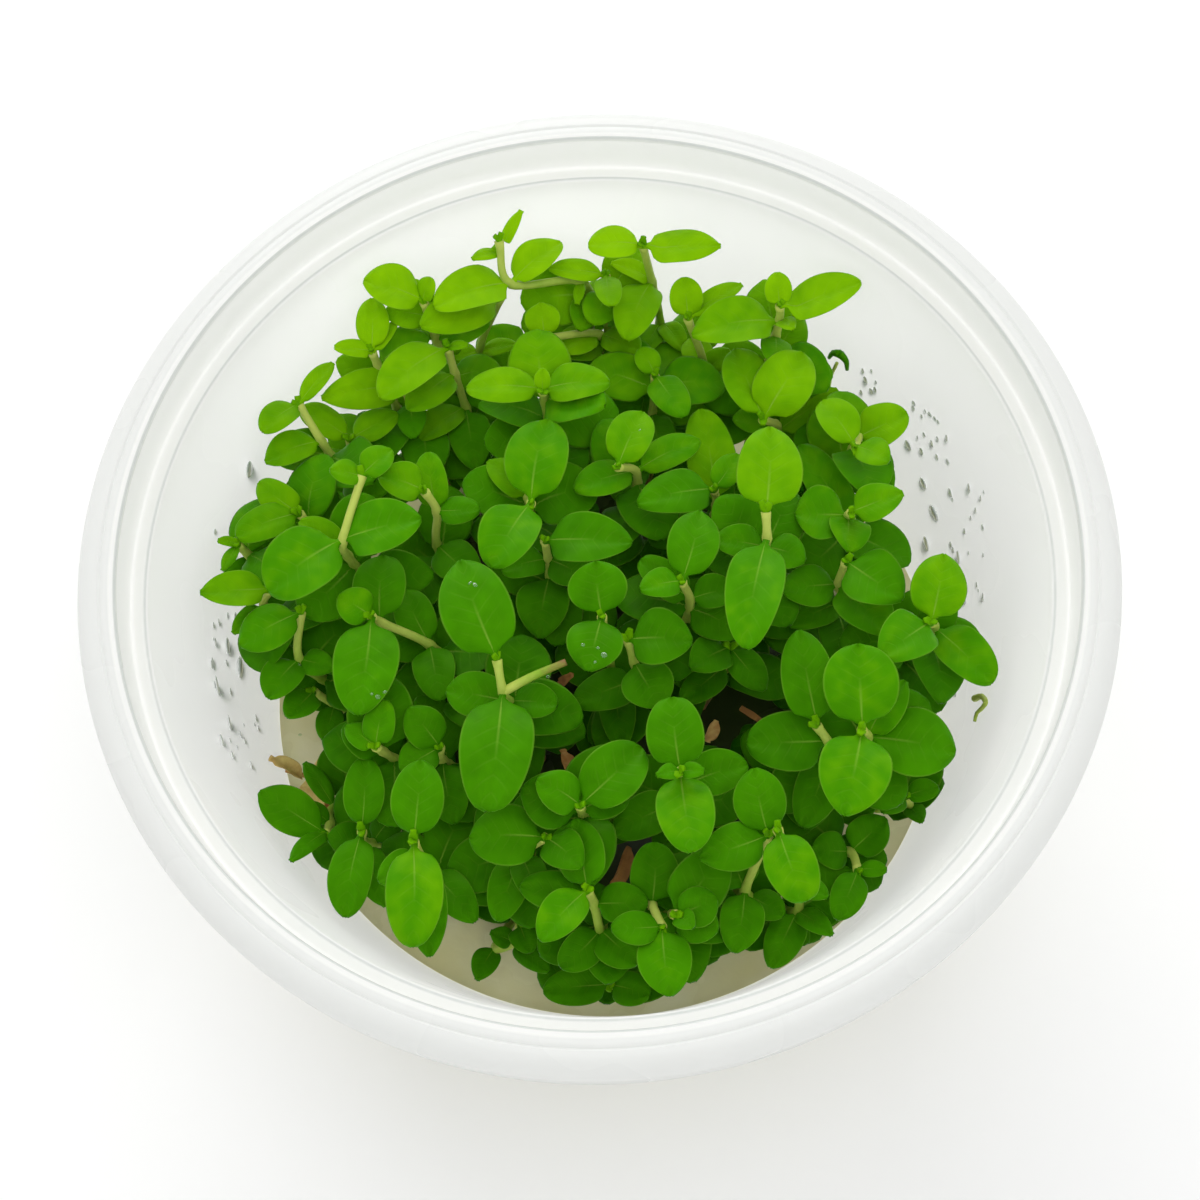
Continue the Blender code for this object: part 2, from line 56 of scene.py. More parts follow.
# %% Sizes of the cup, the gel and the plants
MM = 0.001
CUP_HEIGHT = 60.0 * MM
LIP_RADIUS = 50.0 * MM
COLLAR_RADIUS = 45.9 * MM
COLLAR_DRAFT = 0.15 * MM
LEDGE_DEPTH = 4.85 * MM
LEDGE_WIDTH = 1.6 * MM
LEDGE_CHAMFER = 0.3 * MM
WALL_THICKNESS = 0.9 * MM
WALL_DRAFT = 0.158
FLOOR_THICKNESS = 1.2 * MM
FOOT_HEIGHT = 0.8 * MM
FOOT_WIDTH = 2.6 * MM
FLOOR_FILLET = 1.2 * MM
GEL_TOP = 17.9 * MM
GAP = 0.3 * MM
FOLIAGE_TOP = 53.2 * MM


def inner_radius(height):
    """The tapering wall's inner radius at a height above the underside."""
    ledge_inner = COLLAR_RADIUS - LEDGE_WIDTH - LEDGE_CHAMFER
    return ledge_inner - WALL_DRAFT * (CUP_HEIGHT - LEDGE_DEPTH - LEDGE_CHAMFER - height)


print(f"gel radius {1000 * inner_radius(GEL_TOP):.1f} mm, wall radius at the ledge {1000 * inner_radius(0.0548):.1f} mm")

# %% [markdown]
# ## Camera
#
# The photograph looks into the cup from above and a little in front. The rim and the gel's edge are circles, and
# each is seen as an ellipse. One camera fits them all: it stands 176 mm from the middle of the rim, leans towards
# the front, and is rolled a few degrees. The leaves' places are given in the same view, so the view's own
# direction vectors are kept for them.

# %% The camera
VIEW_DISTANCE = 176.0 * MM
VIEW_LEAN = math.radians(23.65)
VIEW_TILT = math.radians(21.81)
VIEW_ROLL = math.radians(4.5)
VIEW_FOCAL_PIXELS = 1847.0
VIEW_MIDDLE_PIXEL = 600.0
SENSOR = 36.0
EYE = Vector((0, 0, CUP_HEIGHT)) + Vector((0, -math.sin(VIEW_LEAN), math.cos(VIEW_LEAN))) * VIEW_DISTANCE
AHEAD = Vector((0, math.sin(VIEW_TILT), -math.cos(VIEW_TILT)))
UPWARD = Vector((0, math.cos(VIEW_TILT), math.sin(VIEW_TILT)))
ACROSS = Vector((1, 0, 0))


def add_camera():
    data = bpy.data.cameras.new("camera")
    data.sensor_width = SENSOR
    data.lens = SENSOR * VIEW_FOCAL_PIXELS / (2 * VIEW_MIDDLE_PIXEL)
    data.clip_start = 0.005
    camera = bpy.data.objects.new("camera", data)
    right = ACROSS * math.cos(VIEW_ROLL) - UPWARD * math.sin(VIEW_ROLL)
    up = ACROSS * math.sin(VIEW_ROLL) + UPWARD * math.cos(VIEW_ROLL)
    turn = Matrix((right, up, -AHEAD)).transposed()
    camera.matrix_world = Matrix.Translation(EYE) @ turn.to_4x4()
    bpy.context.scene.collection.objects.link(camera)
    bpy.context.scene.camera = camera
    return camera


camera = add_camera()
print(f"camera at {tuple(round(v, 4) for v in EYE)}, lens {camera.data.lens:.1f} mm")

# %% [markdown]
# ## Floor and light
#
# The cup is shown on plain white, evenly lit. Two broad soft lamps stand in for the room: one like a window
# behind the cup, which shines through the far wall, and one like a ceiling light, which shades the leaves
# gently. A white surround fills the rest. One lamp alone would leave the near side grey. The colours are
# shown as they are, with no film curve, so that the strong green stays strong.

# %% Floor and light
FLOOR_HALF = 1.2
FLOOR_COLOUR = (0.93, 0.93, 0.93)
SURROUND = 0.86


def add_floor():
    mesh = bpy.data.meshes.new("floor")
    corners = [(-1, -1, 0), (1, -1, 0), (1, 1, 0), (-1, 1, 0)]
    mesh.from_pydata([tuple(FLOOR_HALF * v for v in corner) for corner in corners], [], [(0, 1, 2, 3)])
    floor = bpy.data.objects.new("floor", mesh)
    bpy.context.scene.collection.objects.link(floor)
    finish = bpy.data.materials.new("pale floor")
    finish.use_nodes = True
    shader = finish.node_tree.nodes["Principled BSDF"]
    shader.inputs["Base Color"].default_value = (*FLOOR_COLOUR, 1)
    shader.inputs["Roughness"].default_value = 0.9
    mesh.materials.append(finish)


def add_lamp(name, place, power, size):
    data = bpy.data.lights.new(name, "AREA")
    data.shape = "DISK"
    data.size = size
    data.energy = power
    lamp = bpy.data.objects.new(name, data)
    lamp.matrix_world = Matrix.Translation(place) @ (-Vector(place)).to_track_quat("-Z", "Y").to_matrix().to_4x4()
    bpy.context.scene.collection.objects.link(lamp)


def add_surround():
    world = bpy.data.worlds.new("surround")
    world.use_nodes = True
    world.node_tree.nodes["Background"].inputs["Color"].default_value = (1, 1, 1, 1)
    world.node_tree.nodes["Background"].inputs["Strength"].default_value = SURROUND
    bpy.context.scene.world = world
    bpy.context.scene.view_settings.view_transform = "Standard"


add_floor()
add_lamp("window", (-0.08, 0.70, 0.42), 2.4, 0.6)
add_lamp("ceiling", (0.1, -0.15, 0.85), 1.0, 0.5)
add_surround()
print("floor, two lamps and a white surround")

# %% [markdown]
# ## Shader maths
#
# A finish is a sum: a base colour, plus veins, plus noise. Blender writes that sum as nodes. A small class that
# wraps a socket lets the sum be written as a plain expression instead, and each operator adds its node.

# %% A socket that can be added and multiplied
class Socket:
    """A node's output. Arithmetic on it adds Math nodes to the same tree."""

    def __init__(self, tree, output):
        self.tree = tree
        self.output = output

    def maths(self, operation, *others):
        return Shade(self.tree).node("ShaderNodeMath", {"operation": operation}, *others)

    def __add__(self, other):
        return self.maths("ADD", self, other)

    def __sub__(self, other):
        return self.maths("SUBTRACT", self, other)

    def __rsub__(self, other):
        return self.maths("SUBTRACT", other, self)

    def __mul__(self, other):
        return self.maths("MULTIPLY", self, other)

    def __truediv__(self, other):
        return self.maths("DIVIDE", self, other)

    def __pow__(self, other):
        return self.maths("POWER", self, other)

    def __abs__(self):
        return self.maths("ABSOLUTE", self)

    __radd__ = __add__
    __rmul__ = __mul__


class Shade:
    """One material's nodes. node() takes a type, its settings, and its inputs in order or by name."""

    def __init__(self, tree):
        self.tree = tree

    def node(self, kind, settings=None, *values, out=0, **named):
        made = self.tree.nodes.new(kind)
        for key, value in (settings or {}).items():
            if key == "stops":
                self.set_stops(made.color_ramp, value)
            else:
                setattr(made, key, value)
        for key, value in [*enumerate(values), *((k.replace("_", " "), v) for k, v in named.items())]:
            self.feed(made.inputs[key], value)
        return Socket(self.tree, made.outputs[out])

    def set_stops(self, ramp, stops):
        while len(ramp.elements) > 2:
            ramp.elements.remove(ramp.elements[1])
        for element, (place, colour) in zip(ramp.elements, (stops[0], stops[-1])):
            element.position, element.color = place, (*colour, 1)
        for place, colour in stops[1:-1]:
            ramp.elements.new(place).color = (*colour, 1)

    def feed(self, socket, value):
        if isinstance(value, Socket):
            self.tree.links.new(value.output, socket)
        elif isinstance(value, tuple) and len(value) == 3 and socket.type == "RGBA":
            socket.default_value = (*value, 1)
        else:
            socket.default_value = value

    def mix(self, share, first, second, way="MIX"):
        """Two colours mixed by a share."""
        made = self.tree.nodes.new("ShaderNodeMix")
        made.data_type, made.blend_type = "RGBA", way
        for key, value in ((0, share), (6, first), (7, second)):
            self.feed(made.inputs[key], value)
        return Socket(self.tree, made.outputs[2])

    def noise(self, place, scale, detail=2.0, roughness=0.5):
        return self.node("ShaderNodeTexNoise", None, Vector=place, Scale=scale, Detail=detail, Roughness=roughness)

    def where(self):
        """The point in the object's own space, in metres."""
        return self.node("ShaderNodeTexCoord", None, out="Object")

    def split(self, vector):
        """The three parts of a vector."""
        made = self.tree.nodes.new("ShaderNodeSeparateXYZ")
        self.feed(made.inputs[0], vector)
        return [Socket(self.tree, part) for part in made.outputs]

    def clamp(self, value, low, high):
        """Takes low..high to 0..1, held at both ends."""
        return self.node("ShaderNodeMapRange", {"clamp": True}, value, low, high, 0.0, 1.0)


def finish(name, **sockets):
    """A material whose Principled shader gets these plain values. Its nodes are added afterwards."""
    made = bpy.data.materials.new(name)
    made.use_nodes = True
    shade = Shade(made.node_tree)
    shader = made.node_tree.nodes["Principled BSDF"]
    for key, value in sockets.items():
        shade.feed(shader.inputs[key.replace("_", " ")], value)
    return made, shade, shader.inputs


print("shader class ready")

# %% [markdown]
# ## The cup's form
#
# The real cup is moulded in one piece: a tapering wall, a ledge on which the lid would sit, a short collar above
# it, and a lip that rolls out and down into a skirt. A Screw modifier would turn such a profile too, but then
# each radius would hide in a curve. Here the profile is a list of points, with rounded corners worked out from
# named radii, and it is turned in 256 steps so that the rim is smooth even close up.

# %% Turn a profile into a cup
CUP_SEGMENTS = 256
SKIRT_DEPTH = 4.4 * MM
SKIRT_FILLET = 0.4 * MM
LIP_THICKNESS = 2.2 * MM
LIP_UNDERCUT = 2.4 * MM
LIP_ROUND = (2.5 * MM, 2.1 * MM)
LIP_CROWN = 0.08 * MM
CREASE_RADIUS = 47.45 * MM
CREASE_DEPTH = 0.13 * MM
CREASE_HALF = 0.22 * MM
EDGE_ROUND = 0.3 * MM


def arc(centre, reach, start, end, steps):
    """Points on an ellipse's arc about a centre, with its two half-axes, between two angles in degrees."""
    turns = (math.radians(start + (end - start) * k / steps) for k in range(steps + 1))
    return [(centre[0] + reach[0] * math.cos(turn), centre[1] + reach[1] * math.sin(turn)) for turn in turns]


def lip_points():
    """The rolled lip from under the skirt, over the shoulder and the fine crease, to the collar's rounded edge."""
    top = CUP_HEIGHT
    shoulder = (LIP_RADIUS - LIP_ROUND[0], top - LIP_ROUND[1])
    skirt_edge = WALL_THICKNESS / 2
    skirt_end = (LIP_RADIUS - skirt_edge, top - SKIRT_DEPTH + skirt_edge)
    inner_edge = (COLLAR_RADIUS + EDGE_ROUND, top - EDGE_ROUND)
    return [
        (COLLAR_RADIUS + WALL_THICKNESS, top - LIP_THICKNESS),
        *arc((LIP_RADIUS - WALL_THICKNESS - SKIRT_FILLET, top - LIP_UNDERCUT - SKIRT_FILLET),
             (SKIRT_FILLET, SKIRT_FILLET), 90, 0, 4),
        *arc(skirt_end, (skirt_edge, skirt_edge), -180, 0, 6),
        *arc(shoulder, (LIP_ROUND[0], LIP_ROUND[1] - LIP_CROWN), 0, 86, 12),
        (CREASE_RADIUS + CREASE_HALF, top - LIP_CROWN),
        (CREASE_RADIUS, top - LIP_CROWN - CREASE_DEPTH),
        (CREASE_RADIUS - CREASE_HALF, top - LIP_CROWN / 2),
        (CREASE_RADIUS - 2.5 * CREASE_HALF, top),
        *arc(inner_edge, (EDGE_ROUND, EDGE_ROUND), 90, 180, 4),
    ]


def cup_profile():
    """Radius and height from the middle of the underside, round the wall, to the middle of the floor's top."""
    floor_top = FOOT_HEIGHT + FLOOR_THICKNESS
    ledge = CUP_HEIGHT - LEDGE_DEPTH
    ledge_inner = COLLAR_RADIUS - LEDGE_WIDTH
    foot_outer = inner_radius(floor_top)
    wall_top = ledge - WALL_THICKNESS
    heel = inner_radius(WALL_THICKNESS) + WALL_THICKNESS
    corner = COLLAR_RADIUS - COLLAR_DRAFT - EDGE_ROUND
    floor_corner = inner_radius(floor_top + FLOOR_FILLET) - FLOOR_FILLET
    return [
        (0, FOOT_HEIGHT),
        (foot_outer - FOOT_WIDTH - FOOT_HEIGHT / 2, FOOT_HEIGHT),
        (foot_outer - FOOT_WIDTH, 0),
        (foot_outer, 0),
        (heel - EDGE_ROUND / 3, WALL_THICKNESS / 2),
        (heel, WALL_THICKNESS),
        *((inner_radius(wall_top * k / 6) + WALL_THICKNESS, wall_top * k / 6) for k in range(1, 7)),
        (COLLAR_RADIUS + WALL_THICKNESS - EDGE_ROUND, wall_top),
        (COLLAR_RADIUS + WALL_THICKNESS, wall_top + EDGE_ROUND),
        *lip_points(),
        *arc((corner, ledge + EDGE_ROUND), (EDGE_ROUND, EDGE_ROUND), 0, -90, 4),
        (ledge_inner + EDGE_ROUND / 2, ledge),
        *arc((ledge_inner, ledge - LEDGE_CHAMFER), (LEDGE_CHAMFER, LEDGE_CHAMFER), 90, 175, 4),
        *((inner_radius(h), h) for h in (0.054, 0.045, 0.036, 0.027, 0.018, 0.010)),
        *arc((floor_corner, floor_top + FLOOR_FILLET), (FLOOR_FILLET, FLOOR_FILLET), 0, -90, 6),
        (0, floor_top),
    ]


def turned(profile, segments):
    """Vertices and faces of a solid of revolution. The profile runs from axis to axis, inside on its left."""
    verts, rings, faces = [], [], []
    for radius, height in profile:
        if radius == 0:
            rings.append([len(verts)] * segments)
            verts.append((0, 0, height))
            continue
        rings.append(list(range(len(verts), len(verts) + segments)))
        turns = [math.tau * i / segments for i in range(segments)]
        verts += [(radius * math.cos(turn), radius * math.sin(turn), height) for turn in turns]
    for lower, upper in zip(rings, rings[1:]):
        for i in range(segments):
            j = (i + 1) % segments
            faces.append(list(dict.fromkeys((lower[i], lower[j], upper[j], upper[i]))))
    return verts, faces


def piece(name, verts, faces, finishes, node, slot, sharp=35):
    """A mesh object that rides on the body and stands for a CAD node, if one is named."""
    mesh = bpy.data.meshes.new(name)
    mesh.from_pydata(verts, [], faces)
    for one in finishes:
        mesh.materials.append(one)
    mesh.shade_smooth()
    if sharp:
        mesh.set_sharp_from_angle(angle=math.radians(sharp))
    made = bpy.data.objects.new(name, mesh)
    bpy.context.scene.collection.objects.link(made)
    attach(made, "root")
    if node:
        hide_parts(node)
    return made


# %% [markdown]
# ## The cup's plastic
#
# The plastic is thin, milky and satin. Light from behind shines through it, so it is partly a translucent
# surface. Subsurface scattering would do the same, but takes far longer for a wall this thin, and a glass
# shader would make it too clear. The thick lip lets less light through, and it is also painted greyer, a
# painted shade. The collar's inner face glows a little. That glow is a painted light, which stands for the
# light that travels inside the lip. Fine grey lines of painted shade mark the edges of collar and ledge, where
# light doesn't reach. Real walls are not quite even: faint smudges of moisture lie on the inside, the wall is
# painted greener towards the gel, a painted light for the green that the leaves throw on it, and the mould
# leaves the surface very slightly wavy.

# %% Milky plastic
PLASTIC_COLOUR = (0.98, 0.98, 0.965)
PLASTIC_SMUDGE = (0.86, 0.88, 0.87)
# Painted shade: the thick lip is painted greyer, because less light gets through it
PLASTIC_LIP_PAINTED_SHADE = (0.82, 0.83, 0.815)
PLASTIC_GLOW = (1.0, 1.0, 0.99)
# Painted light: the collar's inner face glows with this colour, for the light that travels inside the lip
PLASTIC_COLLAR_PAINTED_GLOW = (0.37, 0.36, 0.36)
# Painted shade in the creases at the edges of collar and ledge
PLASTIC_PAINTED_SHADE = (0.50, 0.53, 0.51)
# Each edge that gets a line of painted shade, by its radius and its height
SHADED_EDGES = (
    (COLLAR_RADIUS + 0.12 * MM, CUP_HEIGHT),
    (COLLAR_RADIUS - LEDGE_WIDTH, CUP_HEIGHT - LEDGE_DEPTH),
)
LINE_HALF = 0.24 * MM
# Painted light: the wall turns greener towards the gel, for the green that the leaves throw on it
PLASTIC_PAINTED_LEAF_LIGHT = (0.80, 0.86, 0.70)
PLASTIC_CLEAR = 0.74


def milky_plastic():
    made, shade, shader = finish("milky plastic", Specular_IOR_Level=0.4, Emission_Strength=1.0)
    where = shade.where()
    smudge = shade.clamp(shade.noise(where, 55, 2.0, 0.55), 0.45, 0.75)
    east, north, height = shade.split(where)
    radius = (east * east + north * north) ** 0.5
    thick = shade.clamp(radius, COLLAR_RADIUS + 0.2 * MM, COLLAR_RADIUS + 0.8 * MM)
    # Painted light, stronger towards the gel
    low = shade.clamp(height, GEL_TOP + 20 * MM, GEL_TOP)
    wall = shade.mix(smudge * 0.5, PLASTIC_COLOUR, PLASTIC_SMUDGE)
    wall = shade.mix(low * 0.8, wall, PLASTIC_PAINTED_LEAF_LIGHT)
    # Painted shade: grey lines at the edges of collar and ledge, which also let less light through
    painted_crease_shade = 0.0
    for edge, level in SHADED_EDGES:
        near = shade.clamp(abs(radius - edge), LINE_HALF, LINE_HALF / 4)
        painted_crease_shade = near * shade.clamp(height, level - 3 * LINE_HALF, level - 2 * LINE_HALF) + painted_crease_shade
    # Painted shade on the thick lip
    body_colour = shade.mix(thick, wall, PLASTIC_LIP_PAINTED_SHADE)
    shade.feed(shader["Base Color"], shade.mix(painted_crease_shade * 0.8, body_colour, PLASTIC_PAINTED_SHADE))
    # Painted light: the collar's inner face glows faintly by emission
    collar_painted_glow = shade.clamp(radius, COLLAR_RADIUS - 0.6 * MM, COLLAR_RADIUS - 0.3 * MM) * (1.0 - thick) * (1.0 - painted_crease_shade)
    shade.feed(shader["Emission Color"], shade.mix(collar_painted_glow, (0.0, 0.0, 0.0), PLASTIC_COLLAR_PAINTED_GLOW))
    shade.feed(shader["Roughness"], 0.26 + smudge * 0.12)
    wave = shade.noise(where, 140, 0.0)
    bump = shade.node("ShaderNodeBump", None, Strength=0.12, Distance=0.0006, Height=wave)
    shade.feed(shader["Normal"], bump)
    glow = shade.node("ShaderNodeBsdfTranslucent", None, PLASTIC_GLOW, bump)
    body = made.node_tree.nodes["Principled BSDF"].outputs[0]
    through = (PLASTIC_CLEAR - thick * 0.4) * (1.0 - painted_crease_shade * 0.6)
    mixed = shade.node("ShaderNodeMixShader", None, through, Socket(shade.tree, body), glow)
    shade.feed(made.node_tree.nodes["Material Output"].inputs["Surface"], mixed)
    return made


cup = piece("cup_fine", *turned(cup_profile(), CUP_SEGMENTS), [milky_plastic()], "cup", "cup_plastic")
print("cup:", len(cup.data.polygons), "faces")

# %% [markdown]
# ## The gel
#
# Nutrient gel sets flat, but it climbs the wall by a fraction of a millimetre and its top is faintly uneven. A
# plain disc would show as a flat colour, so its top is a fine polar grid whose height follows that rise and a
# few slow waves. The gel is cloudy and moist: warm beige, soft inside, with a wet sheen. Under the mat it is
# painted nearly black, a painted shade for the dense stems and leaves over it, with the roots in it.

# %% Gel with a climbing edge
GEL_SEGMENTS = 192
GEL_RINGS = 48
MENISCUS_RISE = 0.45 * MM
MENISCUS_WIDTH = 0.9 * MM
GEL_WAVE = 0.12 * MM


def gel_rise(radius, edge, turn):
    """How far the gel's top is above its level at a place."""
    climb = MENISCUS_RISE * math.exp((radius - edge) / MENISCUS_WIDTH)
    x, y = radius * math.cos(turn) / edge, radius * math.sin(turn) / edge
    wave = math.sin(5.1 * x + 1.3) * math.sin(4.3 * y + 0.4) + 0.5 * math.sin(11 * x - 7 * y) * math.sin(9 * y + 5 * x)
    return climb + GEL_WAVE * wave * (1 - (radius / edge) ** 4)


def gel_solid():
    bottom = FOOT_HEIGHT + FLOOR_THICKNESS + GAP / 2
    corner = bottom + FLOOR_FILLET
    edge = inner_radius(GEL_TOP) - GAP / 6
    profile = [(0, bottom), (inner_radius(bottom) - FLOOR_FILLET - GAP / 2, bottom), (inner_radius(corner) - GAP / 2, corner)]
    profile += [(edge * math.sqrt(1 - k / GEL_RINGS), GEL_TOP) for k in range(GEL_RINGS)]
    profile.append((0, GEL_TOP))
    verts, faces = turned(profile, GEL_SEGMENTS)
    raised = []
    for x, y, z in verts:
        rise = gel_rise(math.hypot(x, y), edge, math.atan2(y, x)) if z == GEL_TOP else 0
        raised.append((x, y, z + rise))
    return raised, faces


GEL_COLOUR = (0.84, 0.77, 0.42)
GEL_PALE = (0.92, 0.87, 0.60)
# Painted shade: under the mat the gel is painted nearly black, for the dense stems and leaves over it, with the roots
# in it. It fades out between these two radii.
GEL_PAINTED_SHADE = (0.030, 0.045, 0.010)
MAT_SHADE_EDGE = (25 * MM, 33 * MM)


def nutrient_gel():
    made, shade, shader = finish("nutrient gel", Specular_IOR_Level=0.45)
    where = shade.where()
    cloud = shade.clamp(shade.noise(where, 90, 3.0, 0.6), 0.35, 0.7)
    grain = shade.noise(where, 1500, 2.0)
    east, north, _ = shade.split(where)
    # The painted shade under the mat gets a ragged edge
    ragged = (shade.noise(where, 160, 2.0) - 0.5) * 8 * MM
    reach = (east * east + north * north) ** 0.5 + ragged
    shaded_under_mat = shade.clamp(reach, MAT_SHADE_EDGE[1], MAT_SHADE_EDGE[0])
    clear = shade.mix(cloud, GEL_COLOUR, GEL_PALE)
    shade.feed(shader["Base Color"], shade.mix(shaded_under_mat, clear, GEL_PAINTED_SHADE))
    shade.feed(shader["Roughness"], 0.2 + cloud * 0.15)
    bump = shade.node("ShaderNodeBump", None, Strength=0.25, Distance=0.0004, Height=cloud + grain * 0.15)
    shade.feed(shader["Normal"], bump)
    return made


gel = piece("nutrient_gel_fine", *gel_solid(), [nutrient_gel()], "nutrient_gel", "gel")
print("gel:", len(gel.data.polygons), "faces")

# %% [markdown]
# ## Where the shoots and their leaves are
#
# The shoots stand where the CAD model has them, so the same rule places them again here. Each shoot is a list
# of nodes from the top down: a pixel of the view, a rise above the gel in millimetres, and then its leaves, each
# by its tip and its width. The rise fixes how far along the pixel's ray the node is. Picking 196 places freely
# in space would never match the mat of leaves; reading them in the view and settling them in depth does.

